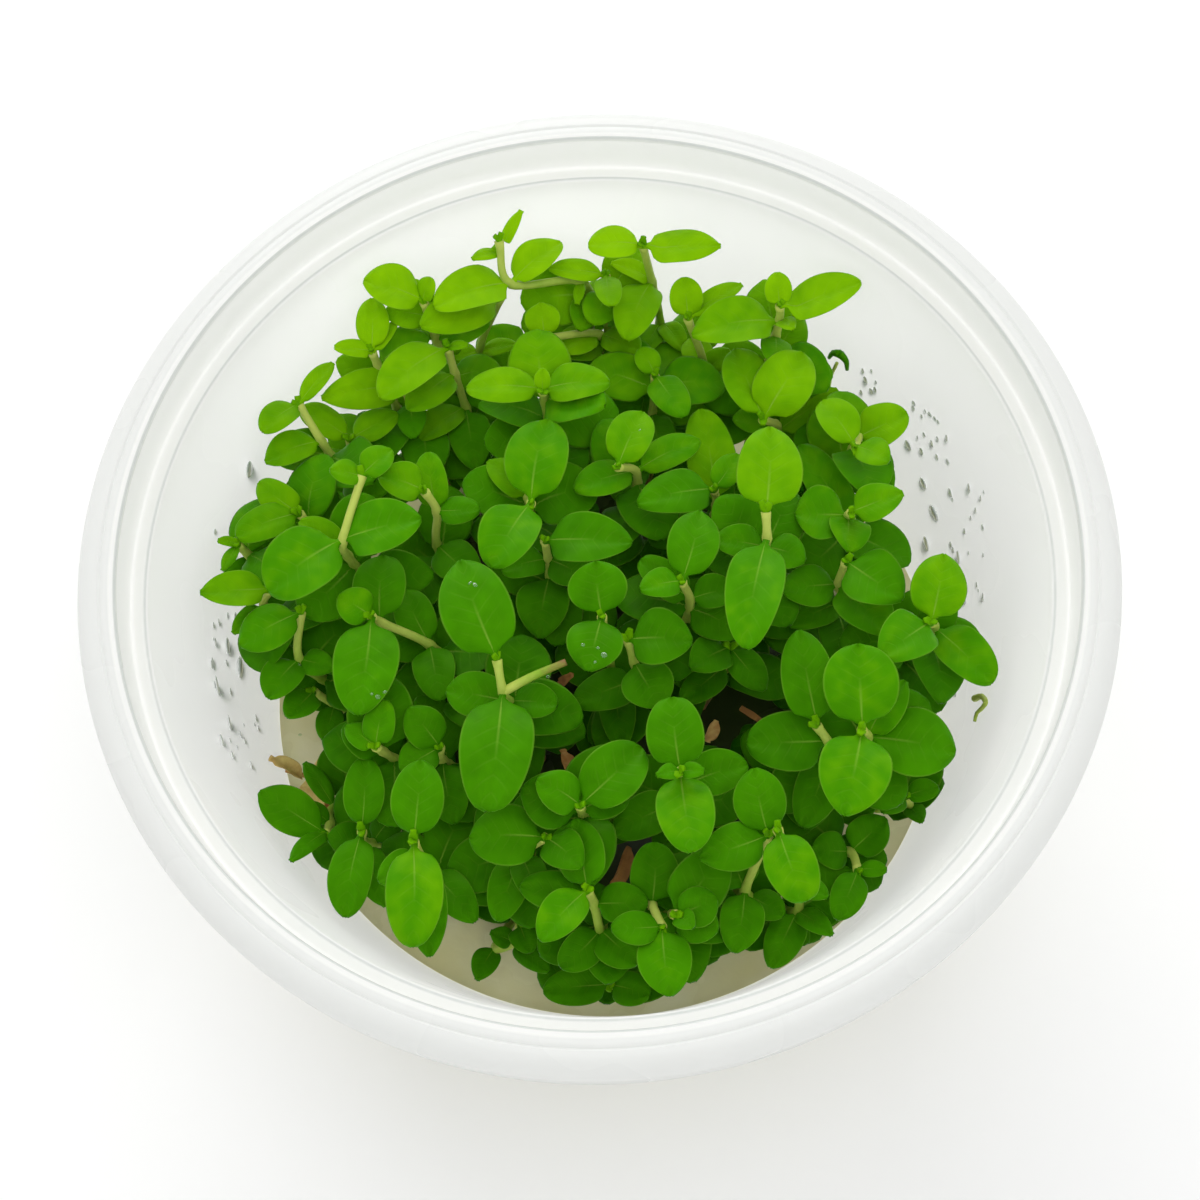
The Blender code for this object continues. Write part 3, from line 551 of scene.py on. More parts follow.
# %% The table of shoots
SHOOTS = (
    (
        ((499, 241), 35, (521, 210, 14), (473, 258, 16)),
        ((511, 284), 31, (561, 242, 38), (434, 306, 50)),
        ((582, 282), 28, (577, 304, 12)),
    ),
    (((424, 302), 31, (363, 281, 50), (431, 278, 24)),),
    (((500, 299), 27, (421, 326, 50)), ((480, 352), 18, (518, 345, 20), (455, 360, 24))),
    (((372, 352), 29, (372, 298, 34), (334, 348, 21), (398, 320, 15)),),
    (
        ((448, 348), 28, (380, 396, 50), (468, 345, 12)),
        ((455, 374), 24, (408, 411, 42)),
        ((466, 408), 17, (420, 440, 34), (476, 468, 44)),
    ),
    (((299, 405), 27, (333, 363, 22), (262, 432, 34)), ((322, 442), 24, (265, 462, 38))),
    (((404, 388), 24, (322, 398, 42)),),
    (((350, 440), 22, (300, 408, 36), (398, 414, 34)), ((353, 451), 19, (316, 460, 24))),
    (
        ((643, 246), 34, (588, 246, 38), (721, 246, 40)),
        ((652, 282), 27, (626, 340, 46), (612, 262, 22)),
        ((660, 324), 18, (640, 354, 26), (684, 350, 24)),
    ),
    (((688, 319), 29, (684, 277, 34), (742, 284, 22)), ((705, 372), 20, (690, 338, 32), (730, 350, 28))),
    (((780, 306), 33, (777, 272, 28), (867, 279, 48)), ((779, 322), 30, (692, 334, 54), (793, 328, 20))),
    (
        ((763, 420), 27, (735, 350, 48), (803, 352, 60)),
        ((775, 424), 21, (733, 418, 30)),
        ((777, 432), 18, (838, 390, 34)),
    ),
    (((545, 338), 27, (541, 303, 36)), ((600, 335), 22, (556, 350, 34), (640, 350, 34))),
    (((543, 390), 30, (466, 387, 40), (609, 381, 43)), ((543, 392), 33, (543, 368, 17))),
    (((531, 504), 30, (548, 418, 64), (492, 566, 60)), ((528, 498), 26, (488, 460, 34))),
    (
        ((545, 541), 28, (631, 541, 56)),
        ((548, 560), 23, (502, 570, 36), (590, 580, 44)),
        ((550, 576), 19, (540, 638, 54)),
    ),
    (((618, 467), 30, (643, 412, 46)), ((636, 472), 26, (575, 489, 40), (700, 440, 36))),
    (((655, 376), 25, (685, 416, 38), (640, 348, 26)),),
    (((714, 490), 27, (638, 502, 50), (738, 455, 30)), ((716, 506), 22, (700, 410, 50))),
    (((682, 582), 31, (700, 511, 52), (640, 590, 34)), ((690, 600), 25, (640, 560, 38), (735, 590, 38))),
    (((602, 617), 32, (596, 561, 60), (588, 672, 58)), ((613, 680), 14, (622, 752, 38))),
    (((628, 640), 27, (692, 640, 62)), ((634, 662), 24, (662, 708, 54)), ((638, 680), 19, (574, 702, 44))),
    (((730, 648), 21, (690, 668, 44), (765, 690, 36)), ((728, 664), 16, (680, 704, 36))),
    (
        ((497, 660), 33, (460, 560, 72)),
        ((503, 692), 31, (489, 813, 76), (566, 662, 9)),
        ((510, 702), 26, (558, 706, 38), (446, 690, 50)),
    ),
    (
        ((425, 492), 30, (378, 476, 42)),
        ((437, 512), 27, (480, 510, 32), (428, 452, 34)),
        ((437, 545), 19, (478, 580, 46)),
    ),
    (
        ((362, 476), 33, (330, 470, 28), (392, 450, 34)),
        ((343, 540), 31, (268, 592, 76), (422, 520, 60)),
        ((348, 556), 26, (300, 520, 32)),
    ),
    (
        ((372, 617), 28, (358, 716, 68), (338, 596, 40)),
        ((380, 622), 26, (384, 556, 54)),
        ((430, 645), 22, (405, 590, 40), (440, 700, 44)),
    ),
    (((238, 545), 26, (218, 541, 12), (223, 571, 14)),),
    (((300, 514), 25, (236, 536, 40), (258, 482, 34)),),
    (((270, 590), 26, (200, 592, 40)), ((264, 606), 22, (233, 634, 24))),
    (((301, 613), 26, (240, 646, 50)), ((300, 660), 21, (268, 699, 42), (335, 668, 30))),
    (((314, 692), 17, (287, 718, 36)), ((335, 704), 13, (324, 741, 28))),
    (
        ((362, 832), 22, (365, 756, 42), (345, 917, 46)),
        ((365, 842), 18, (386, 906, 36)),
    ),
    (
        ((414, 842), 29, (421, 760, 54), (413, 947, 60)),
        ((424, 862), 24, (430, 957, 42), (378, 880, 40)),
        ((430, 872), 19, (475, 921, 40)),
    ),
    (
        ((326, 834), 16, (259, 792, 46), (291, 861, 22)),
        ((330, 824), 13, (304, 803, 20)),
        ((335, 808), 9, (304, 762, 20)),
    ),
    (((440, 748), 24, (408, 708, 42), (400, 770, 40)), ((443, 760), 19, (455, 824, 46))),
    (((545, 838), 27, (469, 838, 64), (582, 868, 44)), ((520, 855), 20, (498, 922, 42), (540, 905, 36))),
    (((580, 806), 30, (642, 747, 60), (536, 780, 44)),),
    (
        ((588, 890), 27, (576, 819, 50), (540, 940, 44)),
        ((594, 904), 23, (520, 886, 42), (648, 902, 42)),
        ((600, 930), 19, (638, 965, 46), (560, 968, 40)),
    ),
    (
        ((680, 772), 33, (657, 775, 18), (704, 771, 18)),
        ((680, 772), 31, (672, 697, 58), (692, 854, 60)),
        ((684, 786), 26, (748, 765, 48)),
        ((684, 802), 20, (614, 834, 46)),
    ),
    (((652, 905), 22, (655, 842, 50)), ((662, 927), 25, (612, 928, 36), (670, 997, 56))),
    (((676, 915), 27, (717, 898, 42), (694, 928, 24)),),
    (((611, 985), 11, (543, 991, 40), (650, 995, 36)),),
    (
        ((520, 925), 13, (530, 953, 30)),
        ((514, 942), 10, (490, 932, 22), (549, 972, 26)),
        ((496, 947), 8, (477, 980, 28)),
    ),
    (
        ((768, 836), 29, (754, 768, 54), (700, 858, 50)),
        ((745, 890), 22, (735, 953, 46), (730, 850, 44)),
        ((748, 896), 18, (784, 916, 32)),
    ),
    (
        ((778, 830), 31, (806, 901, 54)),
        ((797, 884), 21, (828, 897, 24)),
        ((797, 912), 17, (771, 967, 40), (832, 935, 26)),
    ),
    (((862, 730), 32, (858, 644, 76), (844, 817, 74)), ((868, 738), 27, (956, 752, 74), (905, 680, 46))),
    (((858, 870), 20, (837, 919, 36), (887, 870, 18)), ((850, 852), 17, (886, 818, 42), (812, 850, 40))),
    (((905, 797), 17, (939, 788, 24), (882, 812, 24)), ((908, 806), 13, (922, 822, 22))),
    (((817, 726), 29, (799, 630, 54)), ((828, 742), 27, (747, 742, 64)), ((829, 756), 22, (802, 827, 48))),
    (
        ((766, 512), 34, (770, 428, 66)),
        ((767, 538), 32, (745, 650, 60)),
        ((765, 548), 27, (716, 541, 38), (805, 560, 40)),
    ),
    (((855, 447), 30, (822, 400, 40), (889, 462, 34)), ((858, 438), 27, (908, 414, 48))),
    (
        ((851, 513), 31, (903, 492, 40)),
        ((848, 516), 27, (795, 515, 60), (850, 552, 44)),
        ((850, 524), 22, (800, 445, 42)),
    ),
    (
        ((846, 562), 28, (903, 599, 64)),
        ((838, 585), 23, (888, 633, 54), (782, 590, 46)),
        ((843, 602), 18, (790, 625, 34)),
    ),
    (((931, 623), 30, (944, 554, 56), (880, 660, 56)), ((934, 628), 26, (993, 683, 50))),
    (((606, 276), 29, (549, 268, 26), (612, 307, 28)),),
    (((376, 747), 26, (385, 700, 34), (346, 726, 26)),),
)
print(len(SHOOTS), "shoots with", sum(len(row) - 2 for rows in SHOOTS for row in rows), "leaves")

# %% From the view to the cup
LEAST_RISE = 2.0 * MM
WALL_CLEARANCE = 1.0 * MM
RISE_STEP = 0.5 * MM


def size_in_view(pixels, point):
    """The real size of a length in pixels at a point."""
    return pixels * (point - EYE).dot(AHEAD) / VIEW_FOCAL_PIXELS


def view_ray(x, y):
    dx = x - VIEW_MIDDLE_PIXEL
    dy = y - VIEW_MIDDLE_PIXEL
    across = (dx * math.cos(VIEW_ROLL) - dy * math.sin(VIEW_ROLL)) / VIEW_FOCAL_PIXELS
    down = (dx * math.sin(VIEW_ROLL) + dy * math.cos(VIEW_ROLL)) / VIEW_FOCAL_PIXELS
    return AHEAD + across * ACROSS - down * UPWARD


def in_view(x, y, rise):
    """The point on a pixel's ray at a rise above the gel, raised until it is inside the wall."""
    ray = view_ray(x, y)
    height = GEL_TOP + max(rise, LEAST_RISE)
    while True:
        point = EYE + ray * ((height - EYE.z) / ray.z)
        if point.xy.length < inner_radius(height) - WALL_CLEARANCE or height > FOLIAGE_TOP:
            return point
        height += RISE_STEP


def seen_at(point):
    """The pixel of the view at which a point is seen."""
    away = point - EYE
    across, down = away.dot(ACROSS) / away.dot(AHEAD), -away.dot(UPWARD) / away.dot(AHEAD)
    x = across * math.cos(VIEW_ROLL) + down * math.sin(VIEW_ROLL)
    y = down * math.cos(VIEW_ROLL) - across * math.sin(VIEW_ROLL)
    return VIEW_MIDDLE_PIXEL + VIEW_FOCAL_PIXELS * x, VIEW_MIDDLE_PIXEL + VIEW_FOCAL_PIXELS * y


back = seen_at(in_view(300, 800, 12 * MM))
print(f"a point placed at pixel 300, 800 is seen at {back[0]:.1f}, {back[1]:.1f}")

# %% [markdown]
# ## Settling the leaves
#
# Leaves that are only read from a picture would cut through each other. So each leaf is first a coarse blade of
# a few diamond sections. It is lifted, rolled or shrunk a little until it touches no stem and no leaf placed
# before it. A tree of bounding volumes makes each test quick. The highest leaves are placed first, because
# they are the ones in full view.

# %% Coarse leaves and stems
STEM_RADIUS = 0.55 * MM
STEM_TIP_RADIUS = 0.38 * MM
STEM_STEP = 9.0 * MM
NODE_HEIGHT = 1.1 * MM
PETIOLE_SHARE = 0.1
PETIOLE_RADIUS = 0.32 * MM
PETIOLE_START = 1.1 * MM
LEAF_THICKNESS = 0.5 * MM
LEAF_FOLD = 0.16
LEAF_ARCH = 0.07
LEAF_WIDEST = 0.85
LEAF_FULLNESS = 0.52
LEAF_SECTIONS = (0.2, 0.5, 0.84)
SMALL_LEAF_SECTIONS = (0.28, 0.76)
SMALL_LEAF_WIDTH = 4.8 * MM
TIP_RISES = (1.0 * MM, 2.2 * MM, 0.3 * MM, 1.6 * MM)
FOOT_PULL = 0.82
LIFTS = (0, 1, -1, 2, -2, 3, -3, 4, -4, 5, -5, 6, -6, 8, -8)
LIFT_STEP = 0.6 * MM
SHRINKS = (1.0, 0.93, 0.86, 0.78)
ROLLS = (0, 14, -14, 28, -28)
STEM_SHIFTS = (0.0, 1.6 * MM, 3.0 * MM)
SHIFT_TURNS = 8


def leaf_frame(base, tip, roll):
    """The leaf's length direction, its sideways direction and the direction that its upper face looks in."""
    along = (tip - base).normalized()
    side = along.cross(Vector((0, 0, 1))).normalized()
    side = Matrix.Rotation(roll, 3, along) @ side
    return along, side, side.cross(along)


def leaf_half_width(share, width, widest=LEAF_WIDEST, fullness=LEAF_FULLNESS):
    """Half the leaf's width at a share of its length from the stem."""
    blade = max(share - PETIOLE_SHARE, 0) / (1 - PETIOLE_SHARE)
    return max(width / 2 * math.sin(math.pi * blade**widest) ** fullness, PETIOLE_RADIUS)


def leaf_sections(base, tip, width, roll, margin=0.0):
    """The blade's diamond sections, each as right edge, underside, left edge and upper side, and its tip."""
    along, side, upper = leaf_frame(base, tip, roll)
    length = (tip - base).length
    sections = []
    for share in LEAF_SECTIONS if width > SMALL_LEAF_WIDTH else SMALL_LEAF_SECTIONS:
        half = leaf_half_width(share, width) + margin
        arch = upper * length * LEAF_ARCH * 4 * share * (1 - share)
        middle = base + along * length * share + arch
        right = middle + side * half + upper * LEAF_FOLD * half
        left = middle - side * half + upper * LEAF_FOLD * half
        thick = upper * (LEAF_THICKNESS / 2 + margin)
        sections.append((right, middle - thick, left, middle + thick))
    return sections, tip + along * margin


def petiole_foot(node, base, tip, margin):
    """A small diamond section just outside the stem, where the petiole leaves it."""
    along, side, upper = leaf_frame(base, tip, 0)
    middle = node + along * PETIOLE_START
    across = side * (PETIOLE_RADIUS + margin)
    thick = upper * (PETIOLE_RADIUS + margin)
    return (middle + across, middle - thick, middle - across, middle + thick)


def closed_leaf(sections, tip):
    """Vertices and faces of a solid through four-cornered sections, from a flat start to a pointed tip."""
    verts = [corner for section in sections for corner in section] + [tip]
    faces = [(3, 2, 1, 0)]
    for k in range(4, len(verts) - 1, 4):
        faces += [(k - 4 + i, k - 4 + (i + 1) % 4, k + (i + 1) % 4, k + i) for i in range(4)]
    last = len(verts) - 5
    faces += [(last + i, last + (i + 1) % 4, len(verts) - 1) for i in range(4)]
    return verts, faces


def smooth_path(points, step):
    """Points about a step apart on a smooth curve through the given points."""
    ends = [points[0] * 2 - points[1], *points, points[-1] * 2 - points[-2]]
    path = [points[0]]
    for a, b, c, d in zip(ends, ends[1:], ends[2:], ends[3:]):
        count = max(1, round((c - b).length / step))
        for k in range(1, count + 1):
            t = k / count
            bend = (c - a) * t + (a * 2 - b * 5 + c * 4 - d) * t**2 + (b * 3 - a - c * 3 + d) * t**3
            path.append(b + bend / 2)
    return path


def round_axes(ahead):
    first = (Vector((1, 0, 0)) - ahead * ahead.x).normalized()
    return first, ahead.cross(first)


def stem_ring(point, ahead, turn, radius, corners=4):
    """Corners round a stem. With four of them, the first side faces the turn's angle."""
    first, second = round_axes(ahead)
    angles = (turn + (i - 0.5) * math.tau / corners for i in range(corners))
    return [point + (first * math.cos(angle) + second * math.sin(angle)) * radius for angle in angles]


def coarse_stem(path, margin=0.0):
    """Vertices and faces of a plain closed stem, for testing what is near it."""
    stations = []
    for k, point in enumerate(path):
        ahead = (path[min(k + 1, len(path) - 1)] - path[max(k - 1, 0)]).normalized()
        near_top = (point - path[-1]).length < NODE_HEIGHT / 2
        half = ahead * NODE_HEIGHT / 2
        stations += [(point - half, ahead), (point + half, ahead)] if near_top else [(point, ahead)]
    verts, faces = [], [(3, 2, 1, 0)]
    for k, (point, ahead) in enumerate(stations):
        verts += stem_ring(point, ahead, 0.0, STEM_RADIUS + margin)
        for i in range(4 if k else 0):
            j = (i + 1) % 4
            faces.append((4 * k - 4 + i, 4 * k - 4 + j, 4 * k + j, 4 * k + i))
    top = len(verts) - 4
    faces.append((top, top + 1, top + 2, top + 3))
    return verts, faces


# %% Keep them clear of each other
class Obstacles:
    """The solids placed so far, each with its box, so that a new one can be tested against them."""

    def __init__(self):
        self.placed = []

    def add(self, verts, faces, owner):
        self.placed.append((*box_of(verts), BVHTree.FromPolygons(verts, faces), owner))

    def free(self, verts, faces, leave_out=()):
        low, high = box_of(verts)
        tree = None
        for other_low, other_high, other_tree, owner in self.placed:
            if owner in leave_out:
                continue
            if any(low[i] > other_high[i] or high[i] < other_low[i] for i in range(3)):
                continue
            tree = tree or BVHTree.FromPolygons(verts, faces)
            if tree.overlap(other_tree):
                return False
        return True


def box_of(verts):
    return tuple(tuple(pick(v[i] for v in verts) for i in range(3)) for pick in (min, max))


def inside_cup(verts):
    """Whether all the points are clear of the wall and the gel, and no higher than the foliage's top."""
    return all(v.xy.length < inner_radius(v.z) - GAP and GEL_TOP + GAP < v.z < FOLIAGE_TOP for v in verts)


def settled_stem(nodes, obstacles):
    """The stem's path up through its nodes, with its foot moved aside until it is clear of the others."""
    points = sorted(nodes, key=lambda p: p.z)
    for shift in STEM_SHIFTS:
        for k in range(SHIFT_TURNS):
            turn = math.tau * k / SHIFT_TURNS
            foot = points[0].xy * FOOT_PULL + Vector((math.cos(turn), math.sin(turn))) * shift
            path = smooth_path([Vector((*foot, GEL_TOP + GAP)), *points], STEM_STEP)
            if obstacles.free(*coarse_stem(path, GAP)):
                return path
    raise ValueError(f"no clear place for the stem at {points[-1]}")


def settled_leaf(node, leaf, tip_rise, owner, obstacles):
    """The leaf's base, tip, width and roll, moved a little until it is clear of all else, or None."""
    tip_x, tip_y, pixels = leaf
    stem, own_petiole = ("stem", owner[0]), ("petiole", *owner)
    for shrink in SHRINKS:
        for lift in LIFTS:
            base = node + Vector((0, 0, lift * LIFT_STEP))
            tip = base.lerp(in_view(tip_x, tip_y, base.z - GEL_TOP + tip_rise), shrink)
            width = shrink * size_in_view(pixels, tip)
            for degrees in ROLLS:
                roll = math.radians(degrees)
                sections, end = leaf_sections(base, tip, width, roll, GAP)
                blade = closed_leaf(sections, end)
                if not (inside_cup(blade[0]) and obstacles.free(*blade, (stem, own_petiole))):
                    continue
                if not obstacles.free(*closed_leaf(sections[1:], end), (own_petiole,)):
                    continue
                petiole = closed_leaf([petiole_foot(node, base, tip, GAP), sections[0]], sections[1][3])
                if obstacles.free(*petiole, (stem, own_petiole, ("blade", *owner))):
                    return base, tip, width, roll
    return None


def place_coarse_leaf(node, settled, owner, obstacles):
    sections, end = leaf_sections(*settled)
    obstacles.add(*closed_leaf(sections, end), ("blade", *owner))
    foot = petiole_foot(node, *settled[:2], 0)
    obstacles.add(*closed_leaf([foot, sections[0]], sections[1][3]), ("petiole", *owner))


# %% Settle every stem and leaf
def settle_all(obstacles):
    """For each shoot its nodes, its stem's path and its settled leaves, level by level."""
    nodes = [[in_view(*place, rise * MM) for place, rise, *_ in rows] for rows in SHOOTS]
    paths = []
    for number, points in enumerate(nodes):
        paths.append(settled_stem(points, obstacles))
        obstacles.add(*coarse_stem(paths[-1]), ("stem", number))
    wanted = [
        (rise, (number, level), leaf)
        for number, rows in enumerate(SHOOTS)
        for level, (_, rise, *grown) in enumerate(rows)
        for leaf in grown
    ]
    wanted.sort(key=lambda row: -row[0])
    leaves = [[[] for _ in rows] for rows in SHOOTS]
    for k, (_, owner, leaf) in enumerate(wanted):
        node = nodes[owner[0]][owner[1]]
        settled = settled_leaf(node, leaf, TIP_RISES[k % len(TIP_RISES)], owner, obstacles)
        if settled:
            leaves[owner[0]][owner[1]].append(settled)
            place_coarse_leaf(node, settled, owner, obstacles)
    return nodes, paths, leaves


obstacles = Obstacles()
shoot_nodes, stem_paths, shoot_leaves = settle_all(obstacles)
print(sum(len(level) for shoot in shoot_leaves for level in shoot), "leaves settled")

# %% [markdown]
# ## Lower leaves
#
# A creeping jenny stem carries a pair of leaves at every node, each pair at right angles to the last. The pairs
# in full view are in the table. Those lower down are smaller, lie in shade and close the mat from below. They
# are grown by rule, from the same stems, wherever they find room, and only where the photograph shows green
# and not the bare gel.

# %% Room in the mat for lower leaves
MAT_OUTLINE = (
    (521, 212), (560, 238), (612, 226), (690, 226), (722, 246), (742, 285), (772, 272), (862, 284), (806, 330),
    (850, 398), (908, 412), (888, 466), (902, 502), (910, 556), (946, 556), (960, 600), (992, 668), (956, 690),
    (952, 748), (937, 812), (888, 832), (886, 880), (832, 934), (772, 966), (735, 950), (690, 986), (650, 1003),
    (580, 1008), (545, 990), (500, 940), (455, 905), (425, 950), (380, 905), (345, 912), (322, 850), (290, 858),
    (260, 826), (262, 792), (322, 770), (318, 716), (270, 694), (240, 640), (203, 596), (235, 552), (240, 512),
    (262, 470), (264, 430), (300, 376), (342, 345), (368, 280), (430, 280), (455, 262), (478, 250),
)
DARK_GAPS = (
    (562, 682, 16), (558, 758, 20), (722, 705, 24), (700, 735, 12), (628, 865, 26), (470, 555, 16),
    (466, 357, 13), (430, 426, 9), (318, 802, 15), (897, 830, 14),
)
LOWER_STEP = 3.6 * MM
LOWER_LENGTHS = (7.8 * MM, 6.4 * MM, 4.8 * MM)
LOWER_WIDTH_SHARES = (0.72, 0.9)
LOWER_TILTS = (2, 26)
LOWER_TURNS = (0, 20, -20, 42, -42, 64, -64)
LOWER_CLEARANCE = 0.06 * MM
LOWEST_NODE = 3.0 * MM
SPARE_SHARE = 0.3
MISPLACED_LIMIT = 0.12
CELL = 9


def in_mat(x, y):
    """Whether a pixel lies inside the mat's outline and outside its dark gaps."""
    inside = False
    for (ax, ay), (bx, by) in zip(MAT_OUTLINE, MAT_OUTLINE[1:] + MAT_OUTLINE[:1]):
        if (ay > y) != (by > y) and x < ax + (bx - ax) * (y - ay) / (by - ay):
            inside = not inside
    return inside and all(math.hypot(x - gx, y - gy) > reach for gx, gy, reach in DARK_GAPS)


class OpenPlaces:
    """The cells of the view inside the mat that no leaf covers yet, and how high the listed leaves over it are."""

    def __init__(self):
        span = range(int(2 * VIEW_MIDDLE_PIXEL) // CELL)
        self.cells = {(i, j) for i in span for j in span if in_mat((i + 0.5) * CELL, (j + 0.5) * CELL)}
        self.mat = frozenset(self.cells)
        self.roof = {}

    def list_leaf(self, base, tip, width):
        for cell in self.under(base, tip, width):
            self.roof[cell] = max(self.roof.get(cell, 0.0), (base.z + tip.z) / 2)

    def under(self, base, tip, width):
        """The cells that a leaf from base to tip covers."""
        (base_x, base_y), (tip_x, tip_y) = seen_at(base), seen_at(tip)
        reach = max(math.hypot(tip_x - base_x, tip_y - base_y), 1.0)
        way_x, way_y = (tip_x - base_x) / reach, (tip_y - base_y) / reach
        pixels = width / size_in_view(1.0, tip)
        middle_x, middle_y = (base_x + tip_x) / 2, (base_y + tip_y) / 2
        found = set()
        spread = int(reach / CELL / 2) + 3
        for i in range(int(middle_x / CELL) - spread, int(middle_x / CELL) + spread):
            for j in range(int(middle_y / CELL) - spread, int(middle_y / CELL) + spread):
                dx, dy = (i + 0.5) * CELL - base_x, (j + 0.5) * CELL - base_y
                share = (dx * way_x + dy * way_y) / reach
                aside = abs(dx * way_y - dy * way_x)
                if PETIOLE_SHARE < share < 1 and aside < leaf_half_width(share, pixels):
                    found.add((i, j))
        return found

    def misplaced(self, cells, height):
        """The share of these cells that lie outside the mat, or over a listed leaf that is lower than this height."""
        wrong = sum(cell not in self.mat or self.roof.get(cell, height) < height for cell in cells)
        return wrong / max(len(cells), 1)


def lower_nodes(path, nodes):
    """Points down the stem from its lowest listed node, one node's length apart."""
    lowest = min(node.z for node in nodes)
    fine = smooth_path(path, 0.4 * MM)
    below = [point for point in fine if GEL_TOP + LOWEST_NODE < point.z < lowest - LOWER_STEP * 0.6]
    below.sort(key=lambda point: -point.z)
    chosen = []
    for point in below:
        if not chosen or (point - chosen[-1]).length >= LOWER_STEP:
            chosen.append(point)
    return chosen


def lower_choices(node, heading, dice, places):
    """Blades that could leave the node about in a heading, those over the most open cells first."""
    choices = []
    for turn in LOWER_TURNS:
        for length in LOWER_LENGTHS:
            angle = heading + math.radians(turn + dice.uniform(-9, 9))
            tilt = math.radians(dice.uniform(*LOWER_TILTS))
            way = Vector((math.cos(angle) * math.cos(tilt), math.sin(angle) * math.cos(tilt), math.sin(tilt)))
            tip = node + way * length
            width = length * dice.uniform(*LOWER_WIDTH_SHARES)
            if in_mat(*seen_at(tip)) and in_mat(*seen_at(node.lerp(tip, 0.55))):
                cells = places.under(node, tip, width)
                roll = math.radians(dice.uniform(-20, 20))
                if places.misplaced(cells, (node.z + tip.z) / 2) < MISPLACED_LIMIT:
                    choices.append((len(cells & places.cells), (node, tip, width, roll)))
    choices.sort(key=lambda choice: -choice[0])
    return choices


def lower_leaf(node, heading, owner, dice, obstacles, places):
    """The lower leaf that fills most of the open places and touches nothing, or None."""
    spare = dice.random() < SPARE_SHARE
    for gain, settled in lower_choices(node, heading, dice, places):
        if not gain and not spare:
            return None
        sections, end = leaf_sections(*settled, LOWER_CLEARANCE)
        blade = closed_leaf(sections, end)
        if inside_cup(blade[0]) and obstacles.free(*blade, (("stem", owner), ("lower", owner))):
            obstacles.add(*blade, ("lower", owner))
            places.cells -= places.under(*settled[:3])
            return settled
    return None


def grow_lower_leaves(paths, nodes, obstacles):
    """The pairs below the listed nodes, the highest first, because they take the light."""
    dice = random.Random(7)
    places = OpenPlaces()
    whole = len(places.cells)
    for shoot in shoot_leaves:
        for level in shoot:
            for settled in level:
                places.list_leaf(*settled[:3])
                places.cells -= places.under(*settled[:3])
    print(f"listed leaves leave {len(places.cells) / whole:.0%} of the mat open")
    waiting = []
    for number, path in enumerate(paths):
        heading = dice.uniform(0, math.tau)
        for level, node in enumerate(lower_nodes(path, nodes[number])):
            for side in (0, math.pi):
                waiting.append((-node.z, number, node, heading + side + level * math.pi / 2))
    waiting.sort(key=lambda one: one[:2])
    grown = [[] for _ in paths]
    for _, number, node, heading in waiting:
        leaf = lower_leaf(node, heading, number, dice, obstacles, places)
        if leaf:
            grown[number].append((node, leaf))
    print(f"lower leaves leave {len(places.cells) / whole:.0%} of it open")
    return grown


lower_leaves = grow_lower_leaves(stem_paths, shoot_nodes, obstacles)
print(sum(len(mine) for mine in lower_leaves), "lower leaves")

# %% [markdown]
# ## One leaf
#
# A creeping jenny leaf is round to egg-shaped, smooth and a little fleshy. It is folded slightly along its
# midrib, each half bulges a little, and its short stalk runs out of the stem. A flat card with an outline would
# look like paper. Here a ring of points is swept from the stem to the tip: a small round ring in the stalk
# widens into a thin lens in the blade, so stalk and blade are one closed skin with a soft edge.

# %% Sweep a leaf
TOP_GRID = (20, 20)
LOWER_GRID = (13, 14)
BUD_GRID = (8, 8)
BLADE_THICKNESS = 0.16 * MM
STALK_THICKNESS = 0.26 * MM
STALK_BLEND = 0.3
BULGE = 0.05


def eased(value):
    value = min(max(value, 0.0), 1.0)
    return value * value * (3 - 2 * value)


class Growth:
    """The points, faces, leaf coordinates and tones of all that one shoot is made of."""

    def __init__(self):
        self.verts, self.faces, self.places, self.tones, self.slots = [], [], [], [], []

    def ring_tube(self, rings, places, tone, slot):
        """Joins rings of equal length into a tube with closed ends. places gives each point's leaf coordinates."""
        first, count = len(self.verts), len(rings[0])
        for ring, row in zip(rings, places):
            self.verts += [tuple(point) for point in ring]
            self.places += row
            self.tones += [tone] * count
        for k in range(1, len(rings)):
            low, high = first + (k - 1) * count, first + k * count
            for i in range(count):
                j = (i + 1) % count
                self.faces.append((low + i, low + j, high + j, high + i))
        self.faces.append(tuple(first + i for i in reversed(range(count))))
        last = first + (len(rings) - 1) * count
        self.faces.append(tuple(last + i for i in range(count)))
        self.slots += [slot] * (count * (len(rings) - 1) + 2)


